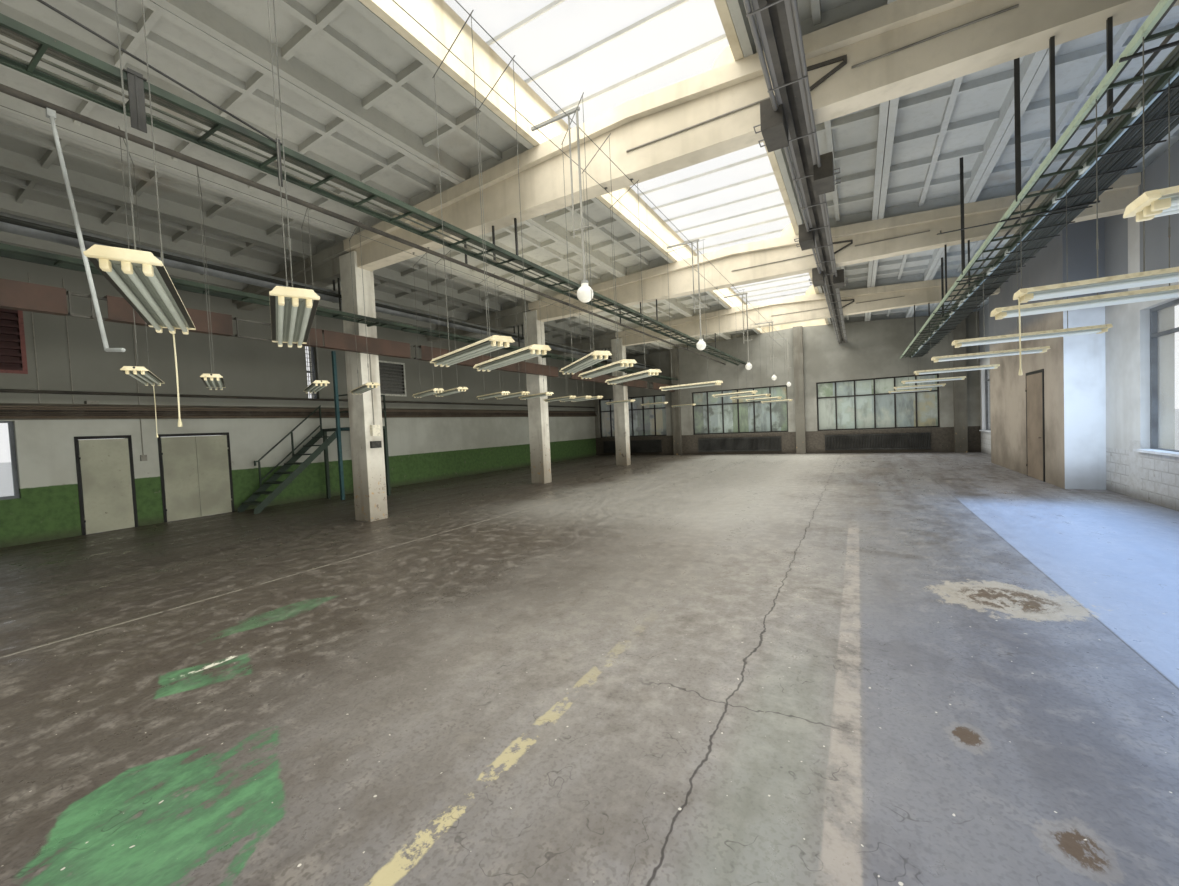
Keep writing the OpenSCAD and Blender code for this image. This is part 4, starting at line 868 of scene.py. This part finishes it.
def fittings_finish():
    """Grey conduits and boxes, with one cream and one dark box on the column."""
    f = Finish("fittings_paint", 0.55)
    fine = f.noise(20.0, 1, 0.65)
    on_column = f.ramp(f.x, -4.0, -3.95)
    cream = on_column * f.between(f.z, 1.923, 2.150, 0.001)
    dark = on_column * f.ramp(f.z, 1.83, 1.82)
    colour = f.mix(cream, (140, 137, 126), (216, 210, 190))
    colour = f.mix(dark, colour, (48, 48, 45))
    f.relief(fine, 0.2, 0.003)
    return f.done(f.mix(f.ramp(fine, 0.45, 0.8) * 0.4, colour, (98, 94, 84)))


def globe_finish():
    """Opal glass up to the neck, then a dull metal rod and bar."""
    f = Finish("globe_glass", 0.25)
    fine = f.noise(16.0, 3, 0.6)
    colour = f.mix(f.ramp(f.z, 3.455, 3.460), (240, 238, 228), (148, 148, 142))
    return f.done(f.mix(f.ramp(fine, 0.5, 0.8) * 0.3, colour, (170, 166, 152)))


def right_ladder_finish():
    """A pale near rail, dark rungs, and a far rail with rests of white paint."""
    f = Finish("pale_ladder_paint", 0.5)
    fine = f.noise(16.0, 3, 0.65)
    patch = f.ramp(f.noise(1.6, 3, 0.6, stretch=(0.2, 1.0, 0.2)), 0.50, 0.54)
    near, far = f.ramp(f.x, 6.262, 6.258), f.ramp(f.x, 6.588, 6.592)
    colour = f.mix(near, (62, 72, 60), (156, 170, 148))
    colour = f.mix(far * patch, colour, (196, 202, 196))
    f.relief(fine, 0.2, 0.003)
    return f.done(f.mix(f.ramp(fine, 0.5, 0.8) * 0.5, colour, (70, 76, 66)))


def cable_finish(name, step, *shades):
    """Sheaths in a few shades, one for each strand, told apart by its place across the bundle."""
    f = Finish(name, 0.5)
    own = f.drawn_for(f.math("ROUND", f.x * (1.0 / step)), f.math("ROUND", f.z * (1.0 / step)))
    colour = shades[0]
    for k, shade in enumerate(shades[1:], 1):
        colour = f.mix(f.ramp(own, k / len(shades), k / len(shades) + 0.01), colour, shade)
    f.relief(f.noise(30.0, 1), 0.2, 0.003)
    return f.done(f.mix(f.ramp(f.noise(3.0, 4, 0.65), 0.42, 0.72) * 0.5, colour, (112, 104, 92)))


dress(louvre_finish(), "wall_louvres")
dress(fittings_finish(), "wall_fittings")
dress(globe_finish(), "globe_lamps")
dress(right_ladder_finish(), "cable_ladder_right")
dress(stair_frame_finish(), "stair_frame")
dress(cable_finish("ladder_sheaths", 0.05, (44, 48, 42), (30, 32, 30), (66, 70, 60)), "ladder_cables")
dress(cable_finish("tray_sheaths", 0.04, (96, 80, 66), (70, 62, 54), (48, 44, 40), (118, 104, 88)),
      "tray_cables")
print("two-colour nodes dressed")

# %% [markdown]
# Setting out what repeats
#
# Lamps, heater sections, straps and bolts repeat many times. Two small node trees place them. One sets a piece on
# given points, each with its own turn, and the other sets it in an even row. Both end in real geometry and one
# finish, and the result is kept as a plain mesh.


# %% Trees that repeat a piece
def open_tree(name, inputs):
    """A node tree with named inputs that ends in Realize Instances and Set Material."""
    tree = bpy.data.node_groups.new(name, "GeometryNodeTree")
    tree.interface.new_socket(name="Places", in_out="INPUT", socket_type="NodeSocketGeometry")
    for label, kind in inputs + [("Piece", "NodeSocketObject"), ("Paint", "NodeSocketMaterial")]:
        tree.interface.new_socket(name=label, in_out="INPUT", socket_type=kind)
    tree.interface.new_socket(name="Made", in_out="OUTPUT", socket_type="NodeSocketGeometry")
    given = tree.nodes.new("NodeGroupInput")
    drawn = tree.nodes.new("GeometryNodeObjectInfo")
    spread = tree.nodes.new("GeometryNodeInstanceOnPoints")
    real = tree.nodes.new("GeometryNodeRealizeInstances")
    coat = tree.nodes.new("GeometryNodeSetMaterial")
    made = tree.nodes.new("NodeGroupOutput")
    for source, label, goal, into in (
        (given, "Piece", drawn, "Object"), (drawn, "Geometry", spread, "Instance"),
        (spread, "Instances", real, "Geometry"), (real, "Geometry", coat, "Geometry"),
        (given, "Paint", coat, "Material"), (coat, "Geometry", made, "Made"),
    ):
        tree.links.new(source.outputs[label], goal.inputs[into])
    return tree, given, spread


on_places, given, spread = open_tree("pieces_on_places", [])
turn = on_places.nodes.new("GeometryNodeInputNamedAttribute")
turn.data_type = "FLOAT_VECTOR"
turn.inputs["Name"].default_value = "turn"
on_places.links.new(given.outputs["Places"], spread.inputs["Points"])
on_places.links.new(turn.outputs["Attribute"], spread.inputs["Rotation"])

in_a_row, given, spread = open_tree("pieces_in_a_row", [
    ("Count", "NodeSocketInt"), ("Start", "NodeSocketVector"), ("Step", "NodeSocketVector")])
line = in_a_row.nodes.new("GeometryNodeMeshLine")
for label, into in (("Count", "Count"), ("Start", "Start Location"), ("Step", "Offset")):
    in_a_row.links.new(given.outputs[label], line.inputs[into])
in_a_row.links.new(line.outputs["Mesh"], spread.inputs["Points"])


def run_tree(tree, name, points, values):
    """Runs a tree on a mesh of points and returns the plain mesh that it makes."""
    maker = bpy.data.objects.new(name, points)
    link(maker)
    modifier = maker.modifiers.new("set_out", "NODES")
    modifier.node_group = tree
    for item in tree.interface.items_tree:
        if item.in_out == "INPUT" and item.name in values:
            modifier[item.identifier] = values[item.name]
    ready = maker.evaluated_get(bpy.context.evaluated_depsgraph_get())
    plain = bpy.data.meshes.new_from_object(ready)
    plain.name = name
    maker.modifiers.remove(modifier)
    maker.data = plain
    return maker


def set_on_places(shape, places, stands_for=()):
    """Places are pairs of a point and a turn in degrees about the three axes. The shape has one finish."""
    pattern = shape.as_object()
    points = bpy.data.meshes.new(shape.name)
    points.from_pydata([point for point, _ in places], [], [])
    turns = points.attributes.new("turn", "FLOAT_VECTOR", "POINT")
    turns.data.foreach_set("vector", [math.radians(a) for _, angles in places for a in angles])
    piece = run_tree(on_places, shape.name, points, {"Piece": pattern, "Paint": shape.finishes[0]})
    bpy.data.objects.remove(pattern)
    return hand_over(piece, stands_for=stands_for)


def set_in_a_row(shape, rows, stands_for=()):
    """Rows are triples of a count, a start and a step. All of them become one piece."""
    paint = shape.finishes[0]
    pattern = shape.as_object()
    whole = bmesh.new()
    for count, start, step in rows:
        row = run_tree(in_a_row, shape.name + "_row", bpy.data.meshes.new(shape.name),
                       {"Piece": pattern, "Paint": paint, "Count": count, "Start": start, "Step": step})
        whole.from_mesh(row.data)
        bpy.data.objects.remove(row)
    data = bpy.data.meshes.new(shape.name)
    whole.to_mesh(data)
    whole.free()
    data.materials.append(paint)
    piece = bpy.data.objects.new(shape.name, data)
    link(piece)
    bpy.data.objects.remove(pattern)
    return hand_over(piece, stands_for=stands_for)


print("trees", on_places.name, in_a_row.name)

# %% [markdown]
# The strip lamps
#
# Each is a folded sheet housing with moulded cream ends, a dull reflector, and three tubes between holders. The
# reflector, the tubes and the undersides of the housings carry painted shade and light: darker in the rows under and
# beside the ridge, lighter in the row by the windows. One lamp is drawn lying along X at the origin, and the rows
# repeat it at the places and turns that the CAD rows have.

# %% Strip lamps
RIDGE_ROW = [
    (1.80, -13.0, -24), (1.80, -10.5, -24), (1.70, -8.08, -24), (1.70, -7.45, -26), (1.65, -5.95, -21),
    (1.65, -5.40, -24), (2.00, -4.55, -42), (1.90, -3.85, -37), (1.75, -2.75, -35), (1.85, -0.30, -15),
    (1.80, 3.60, -24), (1.80, 5.65, -24), (1.80, 8.0, -24), (1.80, 11.0, -24),
]
SECOND_ROW = [
    (0.0, -12.5), (0.0, -10.0), (-0.10, -6.94), (-0.30, -6.21), (-0.25, -4.94), (-0.12, -4.23), (-0.30, -2.78),
    (0.11, -2.59), (-0.08, -1.18), (0.13, -0.78), (0.30, -0.12), (-0.04, 1.40), (0.17, 1.85), (0.30, 2.24),
    (0.0, 5.0), (0.0, 8.0), (0.0, 11.5),
]
RIGHT_ROW = [-12.0, -9.0, -6.2, -4.57, -3.9, -2.0, -0.2, 2.4, 5.5, 8.5, 11.5]
RIDGE_LAMPS_Z, OTHER_LAMPS_Z = 2.57, 2.66
ridge_places = [((x, y, RIDGE_LAMPS_Z), (0, 0, turn)) for x, y, turn in RIDGE_ROW]
second_places = [((x - 2.25, y, OTHER_LAMPS_Z), (0, 0, -23)) for x, y in SECOND_ROW]
lamp_places = ridge_places + second_places + [((6.27, y, OTHER_LAMPS_Z), (0, 0, 0)) for y in RIGHT_ROW]

LAMP_END = 0.649
TUBE_Y = (-0.058, 0.0, 0.058)
housing_outline = [(-0.1045, 0.0405), (0.1045, 0.0405), (0.1045, 0.0475), (0.083, 0.049), (0.074, 0.0765),
                   (-0.074, 0.0765), (-0.083, 0.049), (-0.1045, 0.0475)]
cap_outline = [(-0.1045, 0.036), (0.1045, 0.036), (0.1048, 0.049), (0.086, 0.053), (0.077, 0.0778),
               (-0.077, 0.0778), (-0.086, 0.053), (-0.1048, 0.049)]


def in_right_row(f):
    return f.ramp(f.x, 5.0, 5.4)


def shell_finish():
    """Cream enamel on top and sides, and painted shade where the sheet faces down: near black in the rows under
    and beside the ridge, pale grey in the row by the windows.
    """
    f = Finish("lamp_shell", 0.45)
    fine = f.noise(22.0, 1, 0.65)
    down = f.ramp(f.facing()[2], -0.5, -0.8)
    colour = f.mix(f.ramp(fine, 0.4, 0.75), (226, 217, 186), (198, 187, 154))
    f.relief(fine, 0.2, 0.003)
    # Painted shade on the downward faces, lighter in the row by the windows.
    return f.done(f.mix(down, colour, f.mix(in_right_row(f), (38, 37, 33), (150, 149, 134))))


def lamp_part_finish(name, under_ridge, by_windows, worn):
    """Painted shade and light: darker copies with worn spots in the rows under and beside the ridge, lighter
    copies in the row by the windows.
    """
    f = Finish(name, 0.35)
    fine = f.noise(10.0, 3, 0.65)
    right = in_right_row(f)
    f.relief(fine, 0.2, 0.003)
    # Painted light and shade: the row by the windows gets the lighter copy, the others the darker one.
    return f.done(f.mix(f.ramp(fine, 0.45, 0.8) * 0.5, f.mix(right, under_ridge, by_windows),
                        f.mix(right, worn, by_windows)))


def set_lamps(shape, places=lamp_places):
    return set_on_places(shape, places, ("strip_lamps",))


shaded_and_lit_reflector = lamp_part_finish("lamp_reflector", (128, 132, 120), (188, 194, 186), (98, 100, 90))
dull_tube = lamp_part_finish("dull_tube", (164, 168, 156), (214, 222, 222), (136, 139, 128))
cream_plastic = old_paint("lamp_cream", (238, 227, 192), (212, 198, 158), (170, 154, 118), 0.4, scale=9.0)

housing = Shape("lamp_housings", shell_finish())
housing.prism(housing_outline, -LAMP_END + 0.03, LAMP_END - 0.03, bevel=0.0015)
set_lamps(housing)

caps = Shape("lamp_end_caps", cream_plastic)
for end in (-1, 1):
    caps.prism(cap_outline, end * LAMP_END, end * (LAMP_END - 0.036), bevel=0.005)
    for side in TUBE_Y:
        middle = end * 0.600
        caps.block((middle - 0.024, side - 0.0135, 0.001), (middle + 0.024, side + 0.0135, 0.042), bevel=0.006)
set_lamps(caps)

# Black discs stand for the holes in the caps, as painted shade.
hole = Shape("lamp_cap_holes", black_paint)
for end in (-1, 1):
    hole.turned([(0, -0.0012), (0.0085, -0.0012), (0.0105, 0.0), (0.0085, 0.0012), (0, 0.0012)],
                (end * LAMP_END, 0.0, 0.065), axis="X")
set_lamps(hole, second_places)

reflector = Shape("lamp_reflectors", shaded_and_lit_reflector)
reflector.block((-0.612, -0.080, 0.0370), (0.612, 0.080, 0.0408), bevel=0.001)
for side in (-0.029, 0.029):
    reflector.prism([(side - 0.012, 0.0376), (side + 0.012, 0.0376), (side, 0.029)], -0.575, 0.575)
set_lamps(reflector)

tubes = Shape("lamp_tubes", dull_tube)
for side in TUBE_Y:
    tubes.turned([(0, -0.578), (0.0118, -0.577), (0.013, -0.573), (0.013, 0.573), (0.0118, 0.577), (0, 0.578)],
                 (0.0, side, 0.019), sides=16, axis="X")
lamp_tubes = set_lamps(tubes)
print("lamps", len(lamp_places), "tube triangles", sum(len(p.vertices) - 2 for p in lamp_tubes.data.polygons))

# %% [markdown]
# How the lamps hang
#
# The lamps hang by thin rods from a flat bar, and the bars are hung on wires that run from beam to beam under the
# soffit. The solids are stouter than that, as solids have to be, so finer rods and wires stand for them here.

# %% Rods and wires
WIRE_Z = 5.256
BAR_TOP = 5.250
BEAM_Y = (-9.0, -3.0, 3.0, 9.0)
HALL_END = 14.98


def lamp_hanger(name, base, places):
    """Two rods with a sleeve each, and the bar above them, for lamps whose place is at the height base."""
    hanger = Shape(name, thin_steel)
    top = BAR_TOP - base
    for side in (-0.4, 0.4):
        hanger.tube([(side, 0, 0.076), (side, 0, top - 0.003)], 0.0030, sides=8)
        hanger.tube([(side, 0, 0.34), (side, 0, 0.40)], 0.0062, sides=8)
        hanger.turned([(0, 0.076), (0.012, 0.0765), (0.010, 0.082), (0, 0.084)], (side, 0, 0), sides=12)
    hanger.block((-0.44, -0.004, top - 0.005), (0.44, 0.004, top), bevel=0.001)
    set_on_places(hanger, places, ("lamp_rods",))


lamp_hanger("ridge_row_rods", RIDGE_LAMPS_Z, ridge_places)
lamp_hanger("second_row_rods", OTHER_LAMPS_Z, second_places)
right_rods = Shape("right_row_rods", thin_steel)
for y in RIGHT_ROW:
    for x in (6.24, 6.61):
        right_rods.tube([(x, y, 2.736), (x, y, 4.222)], 0.0035, sides=8)
        right_rods.tube([(x, y, 3.10), (x, y, 3.17)], 0.0065, sides=8)
right_rods.done("dark_steel", stands_for=("lamp_rods",))

wires = Shape("lamp_wires", thin_steel)
for x in (1.6, 2.0, -2.45, -2.05):
    wires.tube([(x, -14.75, WIRE_Z), (x, 14.75, WIRE_Z)], 0.004, sides=8)
    for y in BEAM_Y:
        wires.tube([(x, y, WIRE_Z - 0.004), (x, y, 5.291)], 0.005, sides=8)
        wires.block((x - 0.02, y - 0.02, 5.286), (x + 0.02, y + 0.02, 5.2905), bevel=0.001)
wires.done("dark_steel", stands_for=("lamp_carriers",))
print("rods and wires hung")

# %% [markdown]
# The heaters
#
# Sectional heaters stand under the gable windows. A section has two columns between a head and a foot, and the row
# tree sets it every 60 mm, which is how such heaters are built up.

# %% Heaters
section = Shape("radiator_sections", dark_steel)
for y in (0.030, 0.080):
    section.tube([(0.0, y, 0.02), (0.0, y, 0.68)], 0.020, sides=10)
for z in (0.0, 0.63):
    section.block((-0.029, 0.006, z), (0.029, 0.104, z + 0.07), bevel=0.014)
section.block((-0.005, 0.028, 0.05), (0.005, 0.082, 0.65), bevel=0.002)
GABLE_WINDOWS = [(-8.625, -4.425), (-2.975, 1.725), (2.975, 7.575)]
SECTION_STEP = 0.06
rows = [(int((x1 - x0 - 0.6) / SECTION_STEP), (x0 + 0.3 + SECTION_STEP / 2, wall, 0.35), (SECTION_STEP, 0.0, 0.0))
        for x0, x1 in GABLE_WINDOWS for wall in (-15.0, 14.89)]
heaters = set_in_a_row(section, rows, ("radiators",))
print("heater triangles", sum(len(p.vertices) - 2 for p in heaters.data.polygons))

# %% [markdown]
# Bars of the tall window
#
# High in the left wall is a narrow window with a fine grid of small panes. Its bars are a row of thin slats and two
# uprights in the plane of the frame.

# %% Window grid
grid_paint = old_paint("grid_paint", (70, 72, 70), (44, 46, 44), BARE_STEEL)
cross_bar = Shape("window_cross_bars", grid_paint)
cross_bar.block((-9.035, -1.478, -0.006), (-9.015, -1.272, 0.006), bevel=0.001)
set_in_a_row(cross_bar, [(5, (0, 0, 3.22), (0, 0, 0.125)), (5, (0, 0, 4.02), (0, 0, 0.118))])
uprights = Shape("window_uprights", grid_paint)
for y in (-1.407, -1.343):
    uprights.block((-9.033, y - 0.005, 3.09), (-9.017, y + 0.005, 4.61), bevel=0.001)
uprights.done("grey_frame_paint")
print("window grid set")

# %% [markdown]
# Small fittings under the roof
#
# Straps hold the cables on the ladders, handles sit on the boxes of the busbar, and hexagonal bolts hold its brackets
# to the beams. They are what the eye finds between the large forms.

# %% Straps, handles and bolts
strap = Shape("cable_straps", dark_steel)
strap.block((-0.226, -0.012, 0.0785), (-0.034, 0.012, 0.0815), bevel=0.001)
strap.tube([(-0.229, 0.0, 0.060), (-0.229, 0.0, 0.079)], 0.004, sides=8)
set_in_a_row(strap, [(29, (-0.025, -14.5, 4.64), (0, 1.0, 0))])

dark_sheath = old_paint("dark_sheath", (58, 64, 62), (36, 41, 40), (92, 90, 82), 0.5, scale=3.0)
sky_blue_tube = old_paint("sky_blue_tube", (172, 196, 214), (128, 150, 164), (96, 104, 108), 0.22,
                          scale=2.0)
belt = Shape("ladder_side_cables", dark_sheath, sky_blue_tube)
BELT = [(6.690, 4.250, 0.018), (6.722, 4.243, 0.014), (6.752, 4.250, 0.019), (6.786, 4.244, 0.015),
        (6.818, 4.252, 0.020), (6.853, 4.244, 0.014), (6.884, 4.248, 0.017), (6.916, 4.244, 0.013),
        (6.944, 4.250, 0.018), (6.978, 4.243, 0.014), (7.006, 4.247, 0.015), (6.735, 4.282, 0.016),
        (6.835, 4.285, 0.015), (6.925, 4.280, 0.016)]
for k, (x, z, radius) in enumerate(BELT):
    route = [(x + 0.004 * math.sin(1.7 * y + 2.1 * k), y, z + 0.003 * math.sin(2.3 * y + k))
             for y in (-HALL_END + 2 * HALL_END * step / 60 for step in range(61))]
    belt.tube(route, radius, sides=8)
belt.tube([(6.652, -HALL_END, 4.243), (6.652, HALL_END, 4.243)], 0.014, sides=12, slot=1)
belt.done("cable_rubber")
cross_arm = Shape("cable_arms", dark_steel)
cross_arm.block((6.20, -0.012, 4.205), (7.06, 0.012, 4.224), bevel=0.002)
cross_arm.tube([(7.045, 0, 4.215), (7.045, 0, 4.31)], 0.006, sides=8)
set_in_a_row(cross_arm, [(10, (0, -13.38, 0), (0, 3.0, 0))])
long_arm = Shape("ladder_long_arm", dark_steel)
long_arm.block((5.56, -1.42, 4.198), (6.62, -1.396, 4.208), bevel=0.002)
long_arm.tube([(5.60, -1.408, 4.205), (5.60, -1.408, 4.24)], 0.008, sides=8)
long_arm.done("dark_steel")
short_arm = Shape("cable_hooks", dark_steel)
short_arm.block((6.59, -0.008, 4.210), (7.04, 0.008, 4.222), bevel=0.002)
set_in_a_row(short_arm, [(58, (0, -14.25, 0), (0, 0.5, 0))])


def underside(x, y):
    """The height of the ceiling above a place, found by a ray into the panels."""
    for name in ("roof_panels_right", "roof_panels_left"):
        hit, point, *_ = nodes[name].ray_cast(Vector((x, y, 5.0)), Vector((0, 0, 1)))
        if hit:
            return point.z
    return 5.29


stout = Shape("ladder_hangers", dark_steel)
for x, y in ((6.235, -1.95), (6.235, 1.2), (6.62, 6.4)):
    stout.block((x - 0.024, y - 0.004, 4.225), (x + 0.024, y + 0.004, underside(x, y) + 0.004), bevel=0.001)
stout.done("dark_steel")

arms = Shape("ladder_arms", dark_steel)
for y, half in ((-7.55, 0.045), (-6.555, 0.018)):
    arms.block((-0.0255, y - half, 4.30), (-0.016, y + half, 4.735), bevel=0.002)
    arms.block((-0.060, y - half - 0.02, 4.700), (-0.010, y + half + 0.02, 4.712), bevel=0.002)
    arms.block((-0.0165, y - 0.006, 4.31), (-0.0115, y + 0.006, 4.72), bevel=0.001)
arms.tube([(-0.02, -6.56, 4.70), (-0.02, -8.99, 5.045)], 0.010, sides=8)
arms.tube([(-0.02, -9.0, 5.030), (-0.02, -9.0, 5.291)], 0.008, sides=8)
arms.done("dark_steel")

busbar_paint = bpy.data.materials["busbar_paint"]
BUSBAR_X = 4.105
edges = Shape("busbar_edges", busbar_paint)
for side in (-1, 1):
    outer = BUSBAR_X + side * 0.128
    for start, end, bottom, top in ((BUSBAR_X + side * 0.0895, outer, 5.1795, 5.1845),
                                    (outer, outer + side * 0.004, 5.165, 5.205)):
        edges.block((min(start, end), -14.99, bottom), (max(start, end), 14.99, top), bevel=0.001)
    tube_x = BUSBAR_X + side * 0.158
    edges.tube([(tube_x, -HALL_END, 5.150), (tube_x, HALL_END, 5.150)], 0.021, sides=10)
for y in range(-14, 15):
    edges.block((3.925, y - 0.008, 5.118), (4.285, y + 0.008, 5.130), bevel=0.002)
edges.done("busbar_paint")

GLOBE_Y = [-13.0, -9.2, -4.6, -0.3, 4.1, 8.5, 12.5]
pale_steel = old_paint("pale_rod_paint", (158, 156, 146), (124, 122, 113), (104, 98, 86))
rods = Shape("globe_sleeves", pale_steel)
for y in GLOBE_Y:
    rods.tube([(2.10, y, 3.50), (2.10, y, 5.285)], 0.0135, sides=12)
    rods.tube([(1.985, y, 4.05), (2.215, y, 4.05)], 0.009, sides=10)
    rods.tube([(1.995, y, 3.98), (1.995, y, 5.285)], 0.0105, sides=10)
rods.done("galvanised")

BOXES = [(-1, -3.4), (1, -1.9), (-1, 0.3), (-1, 3.1), (1, 3.6)]
handles, lids = Shape("box_handles", busbar_paint), Shape("box_lids", busbar_paint)
for side, y in BOXES:
    face = BUSBAR_X + side * 0.31
    root, grip = face - side * 0.002, face + side * 0.075
    for middle in (y - 0.15, y + 0.15):
        handles.tube([(x, middle + half, 5.06)
                      for x, half in ((root, -0.06), (grip, -0.06), (grip, 0.06), (root, 0.06))], 0.006, sides=8)
    low, high = sorted((face - side * 0.0005, face + side * 0.004))
    lids.block((low, y - 0.225, 5.00), (high, y + 0.225, 5.265), bevel=0.0015)
handles.done("busbar_paint")
lids.done("busbar_paint")

bolt = Shape("hexagon_bolts", dark_steel)
bolt.turned([(0, 0), (0.014, 0), (0.014, 0.0015), (0, 0.0016)], sides=16)
bolt.turned([(0, 0.001), (0.0095, 0.001), (0.0095, 0.0075), (0.008, 0.009), (0, 0.009)], sides=6)
BEAM_HALF, BRACKET = 0.15, 0.025
set_on_places(bolt, [((4.1225, y - BEAM_HALF - BRACKET, z), (90, 0, 0)) for y in BEAM_Y for z in (5.33, 5.55, 5.73)])
print("fittings set")

# %% [markdown]
# The floor around the hall
#
# A plain pale floor lies under the slab. It isn't part of the hall.

# %% Ground
ground_mesh = bpy.data.meshes.new("pale_ground")
ground_mesh.from_pydata([(x, y, -0.004) for x, y in ((-150, -150), (150, -150), (150, 150), (-150, 150))], [],
                        [(0, 1, 2, 3)])
ground = bpy.data.objects.new("pale_ground", ground_mesh)
link(ground)
ground_mesh.materials.append(Finish("pale_ground", 0.9).done((226, 226, 224)))
print("ground laid")
